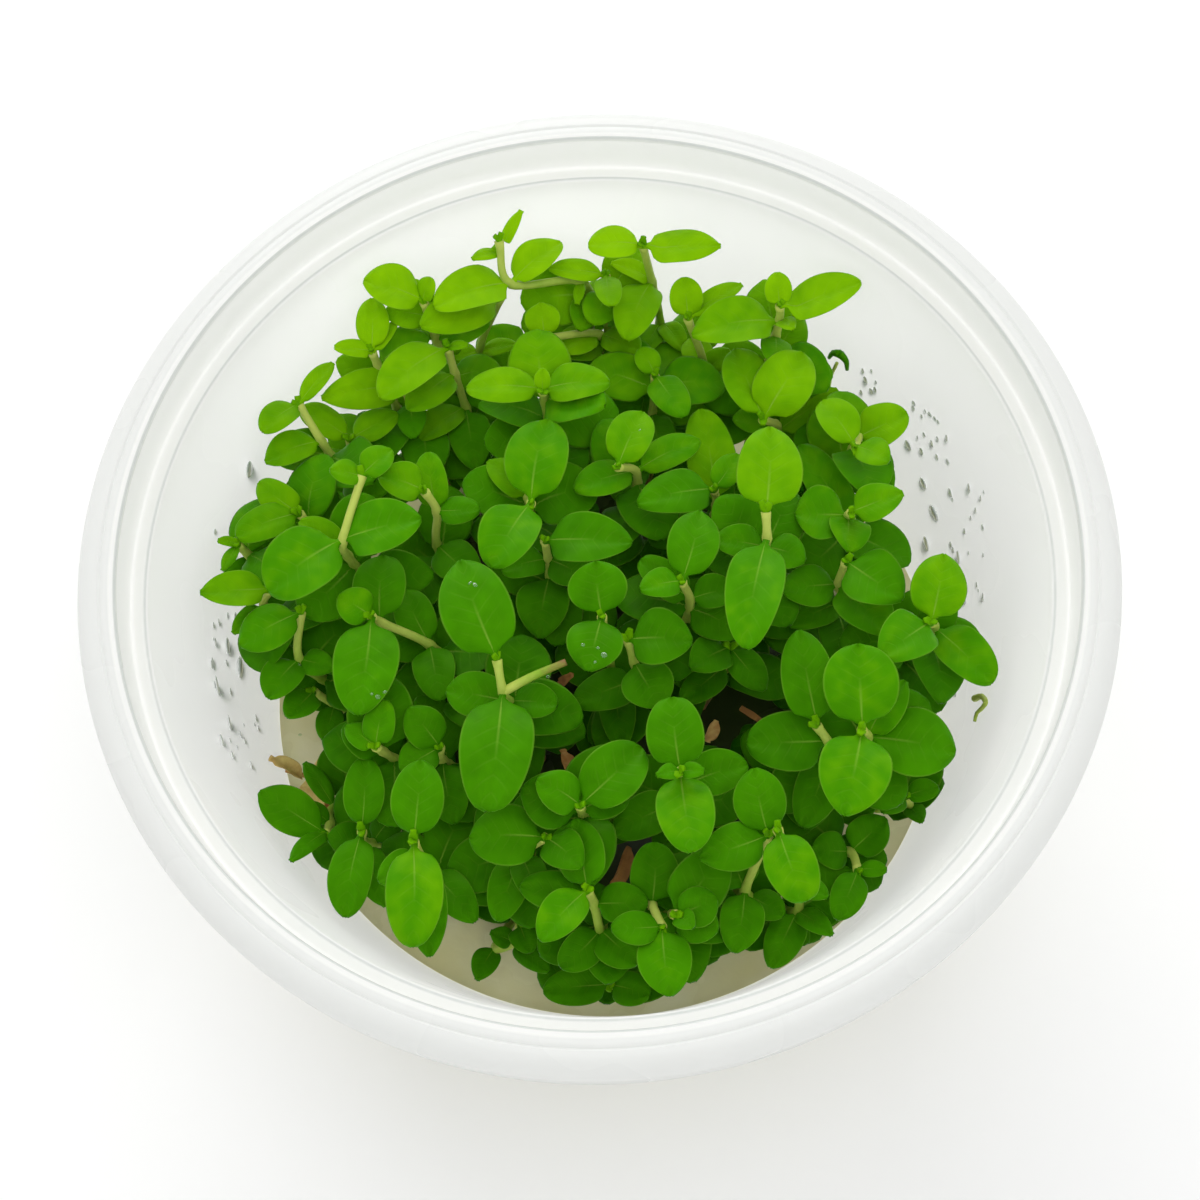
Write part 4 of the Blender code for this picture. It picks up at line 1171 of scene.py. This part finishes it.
def sweep_leaf(growth, node, settled, tone, grid, dice, slot=0, curled=False):
    """Adds one leaf, whose stalk starts inside the stem at its node. A curled one is rolled in and crumpled."""
    base, tip, width, roll = settled
    along, side, upper = leaf_frame(base, tip, roll)
    length = (tip - base).length
    steps, count = grid
    widest = dice.uniform(0.66, 0.95)
    fullness = dice.uniform(0.34, 0.45)
    point = dice.uniform(0.0, 0.22)
    cup = dice.uniform(-0.10, 0.16)
    droop = dice.uniform(-0.02, 0.07)
    wave, phase = dice.uniform(0.0, 0.035), dice.uniform(0, math.tau)
    lean = dice.uniform(-0.05, 0.05)
    if curled:
        cup, wave = dice.uniform(0.5, 0.9), dice.uniform(0.08, 0.14)
    rings, places = [], []
    for k in range(steps + 1):
        share = 0.5 * (k / steps) + 0.5 * (1 - math.cos(math.pi * k / steps)) / 2
        share = min(share, 0.9985)
        half = leaf_half_width(share, width, widest, fullness + point * share**3)
        blade = eased((share - PETIOLE_SHARE * 0.6) / 0.3)
        half = half if share > PETIOLE_SHARE else PETIOLE_RADIUS * (1 + 0.25 * (1 - share / PETIOLE_SHARE))
        thick = STALK_THICKNESS + (BLADE_THICKNESS - STALK_THICKNESS) * blade
        thick = min(thick, half * 0.9 + 0.02 * MM)
        settle = (node - base) * (1 - eased(share / STALK_BLEND))
        arch = LEAF_ARCH * 4 * share * (1 - share) - droop * share**3
        middle = base + along * length * share + settle + upper * length * arch + side * width * lean * math.sin(math.pi * share)
        ring, row = [], []
        for i in range(count):
            angle = math.tau * i / count
            t, lift = math.cos(angle), -math.sin(angle)
            fold = LEAF_FOLD * blade * half * (abs(t) ** 1.6)
            curl = cup * blade * half * t * t + wave * width * blade * abs(t) ** 3 * math.sin(phase + share * 9 + t * 1.7)
            bulge = BULGE * width * blade * math.sin(math.pi * min(abs(t) * 1.15, 1.0))
            ring.append(middle + side * half * t + upper * (fold + curl + bulge + thick * lift))
            row.append(((t + 1) / 2, share))
        rings.append(ring)
        places.append(row)
    growth.ring_tube(rings, places, tone, slot)


# %% [markdown]
# ## One stem
#
# The stem is a thin round rod that thickens at each node. A curve object with a bevel would give the rod, but
# not the swollen nodes, so rings are set along the path, each with its own radius. The lowest ring is a
# millimetre deep in the gel, where the real stem is rooted.

# %% Sweep a stem
STEM_CORNERS = 12
STEM_FINE_STEP = 0.7 * MM
ROOT_DEPTH = 1.2 * MM
STEM_VISIBLE_RADIUS = 0.54 * MM
STEM_VISIBLE_TIP = 0.42 * MM
NODE_SWELL = 0.28
NODE_SPREAD = 0.7 * MM
ROD_CORNERS = 8
ROD_STEP = 0.35 * MM
BARE_STALK_RADIUS = 0.5 * MM
BARE_STALK_SHARE = 0.25
STALK_ARCH = 0.06
BUD_TONE = 0.68
BUD_SIZES = (0.8 * MM, 1.5 * MM)


def sweep_stem(growth, path, nodes, tone):
    fine = smooth_path([path[0] - Vector((0, 0, ROOT_DEPTH)), *path], STEM_FINE_STEP)
    rings, places = [], []
    for k, point in enumerate(fine):
        ahead = (fine[min(k + 1, len(fine) - 1)] - fine[max(k - 1, 0)]).normalized()
        share = k / (len(fine) - 1)
        nearest = min((node - point).length for node in nodes)
        radius = STEM_VISIBLE_RADIUS + (STEM_VISIBLE_TIP - STEM_VISIBLE_RADIUS) * share
        radius *= 1 + NODE_SWELL * math.exp(-((nearest / NODE_SPREAD) ** 2))
        rings.append(stem_ring(point, ahead, 0.0, radius, STEM_CORNERS))
        places.append([(i / STEM_CORNERS, share) for i in range(STEM_CORNERS)])
    growth.ring_tube(rings, places, tone, 1)


def sweep_rod(growth, points, start, end, tone, slot, way=(0.0, 1.0)):
    """A thin rod along points, from one radius to the other. way gives its leaf coordinate at both ends."""
    fine = smooth_path(points, ROD_STEP)
    rings, places = [], []
    for k, point in enumerate(fine):
        ahead = (fine[min(k + 1, len(fine) - 1)] - fine[max(k - 1, 0)]).normalized()
        share = k / (len(fine) - 1)
        rings.append(stem_ring(point, ahead, 0.0, start + (end - start) * share, ROD_CORNERS))
        places.append([(i / ROD_CORNERS, way[0] + (way[1] - way[0]) * share) for i in range(ROD_CORNERS)])
    growth.ring_tube(rings, places, tone, slot)


def sweep_bare_stalk(growth, node, settled, tone):
    """A stalk that has lost its blade: cream where it leaves the stem, dry and brown at its end."""
    base, tip = settled[:2]
    middle = node.lerp(tip, 0.5) + Vector((0, 0, STALK_ARCH * (tip - base).length))
    sweep_rod(growth, [node, middle, tip], BARE_STALK_RADIUS, BARE_STALK_RADIUS * 0.7, tone, 1, (1.0, 0.05))


def sweep_bud(growth, node, ahead, heading, size, dice):
    """Two tiny young leaves that stand up at the tip of the stem."""
    for side in (0, math.pi):
        first, second = round_axes(ahead)
        out = first * math.cos(heading + side) + second * math.sin(heading + side)
        tip = node + (ahead * dice.uniform(0.75, 0.95) + out * dice.uniform(0.35, 0.6)) * size
        sweep_leaf(growth, node, (node, tip, size * 0.7, 0.0), BUD_TONE, BUD_GRID, dice)


# %% [markdown]
# ## Leaf and stem finishes
#
# The leaf is satin yellow-green, with a paler midrib near the stalk and faint side veins. It is painted
# brighter towards the tips of the shoots and darker low in the mat, a painted light and shade, and its thin
# pale margin is a painted highlight. All of them are drawn from the leaf's own coordinates, across and along,
# which the sweep stored as a UV map. Each leaf's tone, which holds its painted light and shade and a little
# chance, is stored beside them. An image would blur up close; these lines stay sharp. The stem is paler,
# from cream at the top to reddish brown near the gel.

# %% Living leaf and stem
# The leaf's colour in painted shade, its own colour, and in painted light
LEAF_PAINTED_SHADE = (0.006, 0.075, 0.0003)
LEAF_MIDDLE = (0.052, 0.250, 0.0005)
LEAF_PAINTED_LIGHT = (0.24, 0.53, 0.001)
LEAF_RIB = (0.30, 0.50, 0.06)
# A painted highlight along the leaf's edge
LEAF_EDGE_HIGHLIGHT = (0.27, 0.50, 0.05)


def leaf_finish():
    made, shade, shader = finish("living leaf", Specular_IOR_Level=0.16, Specular_Tint=(0.55, 0.9, 0.06, 1.0))
    across, along, _ = shade.split(shade.node("ShaderNodeUVMap", {"uv_map": "leaf"}))
    tone = shade.node("ShaderNodeAttribute", {"attribute_name": "tone"}, out="Fac")
    where = shade.where()
    aside = abs(across - 0.5) * 2
    cloud = shade.noise(where, 480, 1.0, 0.6)
    # The tone carries the painted light and shade; the cloud is real mottling
    level = shade.clamp(tone + (cloud - 0.5) * 0.30, 0.0, 1.0)
    ramp = shade.node("ShaderNodeValToRGB", {"stops": ((0.0, LEAF_PAINTED_SHADE), (0.5, LEAF_MIDDLE), (1.0, LEAF_PAINTED_LIGHT))}, level)
    rib = shade.clamp(aside, 0.055, 0.01) * shade.clamp(along, 0.62, 0.16)
    side_vein = shade.node("ShaderNodeMath", {"operation": "SINE"}, (along * 1.0 - aside * 0.22) * 46.0)
    vein = shade.clamp(side_vein, 0.80, 1.0) * shade.clamp(aside, 0.9, 0.3) * shade.clamp(along, 0.2, 0.3)
    # Painted highlight: a thin pale edge where the leaf's rim catches the light
    margin = shade.clamp(aside, 0.93, 0.99) * shade.clamp(along, 0.16, 0.3)
    colour = shade.mix(rib * 0.45, ramp, LEAF_RIB)
    colour = shade.mix(vein * 0.04, colour, LEAF_RIB)
    colour = shade.mix(margin * 0.25, colour, LEAF_EDGE_HIGHLIGHT)
    shade.feed(shader["Base Color"], colour)
    shade.feed(shader["Roughness"], 0.40 + cloud * 0.12)
    height = cloud * 0.3 - rib * 0.4 - vein * 0.1
    shade.feed(shader["Normal"], shade.node("ShaderNodeBump", None, Strength=0.5, Distance=0.0003, Height=height))
    return made


STEM_CREAM = (0.48, 0.58, 0.10)
STEM_GREEN = (0.22, 0.40, 0.02)
STEM_BROWN = (0.23, 0.12, 0.045)


def stem_finish():
    made, shade, shader = finish("living stem", Specular_IOR_Level=0.25)
    along = shade.split(shade.node("ShaderNodeUVMap", {"uv_map": "leaf"}))[1]
    tone = shade.node("ShaderNodeAttribute", {"attribute_name": "tone"}, out="Fac")
    cloud = shade.noise(shade.where(), 700, 3.0, 0.6)
    level = shade.clamp(along * 0.8 + tone * 0.3 + (cloud - 0.5) * 0.4, 0.0, 1.0)
    stops = ((0.0, STEM_BROWN), (0.22, STEM_BROWN), (0.5, STEM_GREEN), (0.88, STEM_CREAM))
    shade.feed(shader["Base Color"], shade.node("ShaderNodeValToRGB", {"stops": stops}, level))
    shade.feed(shader["Roughness"], 0.42 + cloud * 0.15)
    return made


LIVING = [leaf_finish(), stem_finish()]


# %% [markdown]
# ## Grow the shoots
#
# Every shoot becomes one mesh: its stem, its listed leaves, its lower leaves and the bud at its tip. It stands
# for the CAD shoot of the same number. Each leaf's tone is painted light and shade: it is darker lower down,
# where the shade lies, and brighter further out and further back, where light comes through the wall. It also
# differs a little from leaf to leaf.

# %% Grow them
# Painted shade on the lower leaves
LOWER_PAINTED_SHADE = 0.8


def painted_light_and_tone_of(point, dice):
    """A leaf's tone from 0, in painted shade, to 1, in painted light: higher, further out and further back is
    brighter, and each differs a little at random.
    """
    high = (point.z - GEL_TOP) / (FOLIAGE_TOP - GEL_TOP)
    back = max((point.y + 40 * MM) / (80 * MM), 0.0)
    outer = point.xy.length / (40 * MM)
    tone = 0.02 + 0.32 * high + 0.45 * back**2 + 0.21 * outer**2 + dice.uniform(-0.08, 0.08)
    return min(max(tone, 0.0), 1.0)


def grown_mesh(name, growth, finishes):
    mesh = bpy.data.meshes.new(name)
    mesh.from_pydata(growth.verts, [], growth.faces)
    for one in finishes:
        mesh.materials.append(one)
    mesh.polygons.foreach_set("material_index", growth.slots)
    layer = mesh.uv_layers.new(name="leaf")
    for loop in mesh.loops:
        layer.data[loop.index].uv = growth.places[loop.vertex_index]
    mesh.attributes.new("tone", "FLOAT", "POINT").data.foreach_set("value", growth.tones)
    mesh.shade_smooth()
    return mesh


def grow_shoot(number):
    dice = random.Random(100 + number)
    growth = Growth()
    nodes, path = shoot_nodes[number], stem_paths[number]
    sweep_stem(growth, path, nodes + [node for node, _ in lower_leaves[number]], dice.uniform(0.0, 0.6))
    for node, leaves in zip(nodes, shoot_leaves[number]):
        for settled in leaves:
            if settled[2] < BARE_STALK_SHARE * (settled[1] - settled[0]).length:
                sweep_bare_stalk(growth, node, settled, 0.6)
                continue
            sweep_leaf(growth, node, settled, painted_light_and_tone_of(settled[1], dice), TOP_GRID, dice)
    for node, settled in lower_leaves[number]:
        sweep_leaf(growth, node, settled, painted_light_and_tone_of(settled[1], dice) * LOWER_PAINTED_SHADE, LOWER_GRID, dice)
    ahead = (path[-1] - path[-2]).normalized()
    sweep_bud(growth, path[-1], ahead, dice.uniform(0, math.pi), dice.uniform(*BUD_SIZES), dice)
    name = f"shoot_{number + 1:02d}"
    made = bpy.data.objects.new(name + "_fine", grown_mesh(name + "_fine", growth, LIVING))
    bpy.context.scene.collection.objects.link(made)
    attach(made, "root")
    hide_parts(name)
    return made


shoots = [grow_shoot(number) for number in range(len(SHOOTS))]
print(len(shoots), "shoots,", sum(len(shoot.data.polygons) for shoot in shoots), "faces")

# %% [markdown]
# ## Withered leaves
#
# Low down, a few leaves have died. They lie in the gaps between the stems, brown or straw-coloured, narrow and
# rolled in on themselves. The leaf sweep makes these too: a dead leaf is a narrow one with its halves bent far
# up. One dry stem lies on the gel at the left, and a small pale curl clings to the wall at the right.

# %% Withered leaves, dry stems and two curls
DRY_BROWN = (0.24, 0.10, 0.03)
DRY_RUST = (0.46, 0.22, 0.06)
DRY_STRAW = (0.76, 0.58, 0.20)
DRY_GRID = (14, 16)
# Each as (x, y) in the view, rise above the gel in mm, (x, y) of its tip, width in pixels, tone
WITHERED = (
    ((308, 776), 7, (322, 816), 22, 0.95),
    ((332, 790), 6, (326, 824), 18, 0.35),
    ((270, 758), 5, (302, 778), 16, 0.9),
    ((610, 890), 12, (628, 846), 17, 0.35),
    ((640, 822), 12, (650, 796), 12, 0.15),
    ((563, 750), 14, (570, 778), 13, 0.45),
    ((707, 742), 11, (716, 720), 13, 0.7),
    ((762, 722), 10, (740, 708), 7, 0.4),
    ((330, 704), 9, (320, 688), 10, 0.9),
    ((560, 684), 18, (573, 674), 10, 0.2),
    ((472, 556), 9, (486, 574), 12, 0.2),
)
# Each as its radius in mm, tone, and its points as (x, y) in the view and rise
DRY_STEMS = (
    (0.30, 0.5, ((286, 770, 3), (318, 778, 4), (346, 772, 5))),
    (0.22, 0.9, ((314, 768, 5), (326, 752, 8), (348, 741, 10))),
    (0.20, 0.3, ((236, 541, 22), (254, 552, 20), (272, 560, 17))),
)
WALL_CURL = ((977, 699), (984, 697), (988, 703), (984, 709), (979, 714), (977, 722))
WALL_CURL_RADIUS = 0.26 * MM
SPROUT_STEM = ((829, 386, 12), (831, 376, 17), (837, 363, 20))
SPROUT_CURL = ((829, 358, 21), (833, 353, 22), (840, 354, 22), (846, 361, 21), (847, 370, 20))
SPROUT_RADII = (0.2 * MM, 0.5 * MM)


def dry_finish():
    made, shade, shader = finish("withered leaf", Specular_IOR_Level=0.2)
    tone = shade.node("ShaderNodeAttribute", {"attribute_name": "tone"}, out="Fac")
    cloud = shade.noise(shade.where(), 900, 3.0, 0.6)
    level = shade.clamp(tone + (cloud - 0.5) * 0.9, 0.0, 1.0)
    stops = ((0.0, DRY_BROWN), (0.5, DRY_RUST), (1.0, DRY_STRAW))
    shade.feed(shader["Base Color"], shade.node("ShaderNodeValToRGB", {"stops": stops}, level))
    shade.feed(shader["Roughness"], 0.55 + cloud * 0.2)
    shade.feed(shader["Normal"], shade.node("ShaderNodeBump", None, Strength=0.5, Distance=0.0003, Height=cloud))
    return made


def on_wall(x, y):
    """The point of the inner wall that a pixel's ray meets."""
    ray = view_ray(x, y)
    low, high = GEL_TOP, CUP_HEIGHT - LEDGE_DEPTH
    for _ in range(30):
        height = (low + high) / 2
        point = EYE + ray * ((height - EYE.z) / ray.z)
        if point.xy.length > inner_radius(height):
            low = height
        else:
            high = height
    return point


def inward(point):
    """The direction that the wall's inner face looks in."""
    return Vector((-point.x, -point.y, point.xy.length * WALL_DRAFT)).normalized()


def withered_growth():
    dice = random.Random(11)
    growth = Growth()
    for place, rise, tip, pixels, tone in WITHERED:
        base = in_view(*place, rise * MM)
        end = in_view(*tip, rise * MM + dice.uniform(0.5, 2.5) * MM)
        width = size_in_view(pixels, end)
        sweep_leaf(growth, base, (base, end, width, dice.uniform(-0.7, 0.7)), tone, DRY_GRID, dice, curled=True)
    for radius, tone, places in DRY_STEMS:
        points = [in_view(x, y, rise * MM) for x, y, rise in places]
        sweep_rod(growth, points, radius * MM, radius * 0.7 * MM, tone, 0)
    return growth


def sprout_growth():
    growth = Growth()
    stem = [in_view(x, y, rise * MM) for x, y, rise in SPROUT_STEM]
    foot = Vector((*stem[0].xy, GEL_TOP - ROOT_DEPTH))
    thin, thick = SPROUT_RADII
    sweep_rod(growth, [foot, *stem], thin * 1.3, thin, 0.7, 1, (0.2, 0.8))
    curl = [in_view(x, y, rise * MM) for x, y, rise in SPROUT_CURL]
    sweep_rod(growth, curl[:3], thin, thick, 0.35, 0, (0.3, 0.6))
    sweep_rod(growth, curl[2:], thick, thin, 0.35, 0, (0.6, 0.9))
    curl = [on_wall(x, y) + inward(on_wall(x, y)) * WALL_CURL_RADIUS for x, y in WALL_CURL]
    sweep_rod(growth, curl, WALL_CURL_RADIUS * 1.5, WALL_CURL_RADIUS * 0.7, 0.9, 1, (0.75, 0.6))
    return growth


def loose_piece(name, growth, finishes):
    made = bpy.data.objects.new(name, grown_mesh(name, growth, finishes))
    bpy.context.scene.collection.objects.link(made)
    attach(made, "root")
    return made


withered = loose_piece("withered_leaves", withered_growth(), [dry_finish()])
sprout = loose_piece("curled_sprout", sprout_growth(), LIVING)
print(len(WITHERED), "withered leaves,", len(DRY_STEMS), "dry stems, one sprout")

# %% [markdown]
# ## Drops of water
#
# Water has condensed on the wall in small drops that run down into short streaks, and a few beads lie on the
# leaves and on the gel. A spot in the wall's colour would look printed on. Each drop is a real bulge: a ball
# flattened against what carries it and drawn out downhill. For the beads on leaves, the ray of a pixel is sent
# through the finished shoots, so that each bead sits on the leaf it meets.

# %% Condensation and beads
DROP_GRID = (8, 10)
# The clear drops, each as (x, y) in the view, then its width and length in pixels
CLEAR_DROPS = (
    (923, 484, 9, 17), (934, 513, 13, 16), (926, 545, 9, 27), (950, 493, 6, 12), (958, 560, 7, 32),
    (250, 472, 9, 34), (228, 648, 10, 32), (240, 668, 16, 22), (218, 690, 8, 52), (230, 726, 7, 40),
    (345, 395, 10, 32), (236, 620, 7, 24), (222, 742, 7, 26), (908, 446, 8, 16), (892, 428, 6, 12),
)
# Places with many small drops: (x, y) of two corners in the view and how many
DROP_FIELDS = (
    ((905, 395), (950, 470), 16), ((940, 480), (985, 700), 30), ((850, 365), (885, 410), 10),
    ((745, 326), (805, 362), 10), ((212, 520), (238, 700), 20), ((225, 700), (262, 770), 10),
)
BEADS = (
    (583, 645, 4), (604, 655, 6), (598, 648, 3), (475, 585, 4), (378, 697, 5), (372, 694, 3), (548, 677, 4),
    (556, 680, 3), (300, 665, 3), (620, 560, 2), (640, 430, 2), (470, 583, 3), (595, 662, 3), (385, 692, 3),
)
GEL_BEADS = ((396, 948, 3), (404, 955, 4), (411, 962, 3), (520, 962, 3), (733, 942, 3), (300, 735, 3), (702, 960, 3))
DROP_FLATNESS = 0.3
DROP_SPREAD = 1.5
BEAD_FLATNESS = 0.55


def add_drop(verts, faces, point, outward, downhill, width, length, flatness):
    """A flattened ball of the given width and length, half sunk into the surface it lies on."""
    across = downhill.cross(outward)
    rows, count = DROP_GRID
    first = len(verts)
    for r in range(1, rows):
        polar = math.pi * r / rows
        for i in range(count):
            turn = math.tau * i / count
            over = math.sin(polar) * math.cos(turn) * width / 2
            rise = math.sin(polar) * math.sin(turn) * width / 2 * flatness
            verts.append(point + downhill * (-math.cos(polar) * length / 2) + across * over + outward * rise)
    poles = len(verts)
    verts += [point - downhill * length / 2, point + downhill * length / 2]
    for r in range(rows - 2):
        low, high = first + r * count, first + (r + 1) * count
        faces += [(low + i, low + (i + 1) % count, high + (i + 1) % count, high + i) for i in range(count)]
    last = first + (rows - 2) * count
    for i in range(count):
        faces.append((poles, first + (i + 1) % count, first + i))
        faces.append((poles + 1, last + i, last + (i + 1) % count))


def add_wall_drop(verts, faces, x, y, width, length):
    point = on_wall(x, y)
    outward = inward(point)
    downhill = Vector((-outward.x, -outward.y, 0)) * outward.z - Vector((0, 0, 1)) * outward.xy.length
    wide, long = (size_in_view(pixels, point) * DROP_SPREAD for pixels in (width, length))
    add_drop(verts, faces, point, outward, downhill.normalized(), wide, max(long, wide), DROP_FLATNESS)


# Painted refraction: the clear wall drops are tinted grey, for the darker things that they show through
DROP_REFRACTION_DARK = (0.72, 0.78, 0.75)
DROP_REFRACTION_LIGHT = (0.88, 0.90, 0.89)
# Painted glints: the clear beads are tinted pale green, for their highlights and the leaves that they show
BEAD_PAINTED_GREEN = (0.62, 0.86, 0.48)
BEAD_PAINTED_GLINT = (0.88, 0.98, 0.80)


def water(name, clear, dark, light):
    made, shade, shader = finish(name, Roughness=0.06, IOR=1.33, Transmission_Weight=clear)
    film = shade.clamp(shade.noise(shade.where(), 1800, 1.0), 0.3, 0.7)
    # The base colour tints the clear water, a painted refraction and glint
    shade.feed(shader["Base Color"], shade.mix(film, dark, light))
    return made


def wall_drops():
    dice = random.Random(23)
    verts, faces = [], []
    for drop in CLEAR_DROPS:
        add_wall_drop(verts, faces, *drop)
    for (left, top), (right, bottom), count in DROP_FIELDS:
        for _ in range(count):
            width = dice.uniform(2.0, 5.0)
            x, y = dice.uniform(left, right), dice.uniform(top, bottom)
            add_wall_drop(verts, faces, x, y, width, width * dice.uniform(1.2, 4.5))
    return verts, faces


def beads():
    """Beads on the leaves under their pixels, and on the gel."""
    dice = random.Random(31)
    verts, faces = [], []
    trees = [BVHTree.FromPolygons([v.co for v in one.data.vertices], [p.vertices[:] for p in one.data.polygons]) for one in shoots]
    for x, y, pixels in BEADS:
        ray = view_ray(x, y).normalized()
        met = [hit for hit in (tree.ray_cast(EYE, ray) for tree in trees) if hit[0]]
        if met:
            point, outward = min(met, key=lambda hit: hit[3])[:2]
            outward = outward if outward.dot(ray) < 0 else -outward
            downhill = outward.cross(Vector((math.cos(x), math.sin(x), 0.3))).normalized()
            size = size_in_view(pixels, point)
            add_drop(verts, faces, point, outward, downhill, size, size * dice.uniform(1.0, 1.8), BEAD_FLATNESS)
    for x, y, pixels in GEL_BEADS:
        ray = view_ray(x, y)
        point = EYE + ray * ((GEL_TOP - EYE.z) / ray.z)
        size = size_in_view(pixels, point)
        add_drop(verts, faces, point, Vector((0, 0, 1)), Vector((1, 0, 0)), size, size * 1.5, BEAD_FLATNESS)
    return verts, faces


condensed = water("condensed water", 0.25, DROP_REFRACTION_DARK, DROP_REFRACTION_LIGHT)
clear = water("clear water", 0.9, BEAD_PAINTED_GREEN, BEAD_PAINTED_GLINT)
drops = piece("wall_drops", *wall_drops(), [condensed], None, "cup_plastic", 180)
leaf_beads = piece("water_beads", *beads(), [clear], None, "leaf", 180)
print(len(drops.data.polygons) + len(leaf_beads.data.polygons), "faces of water")
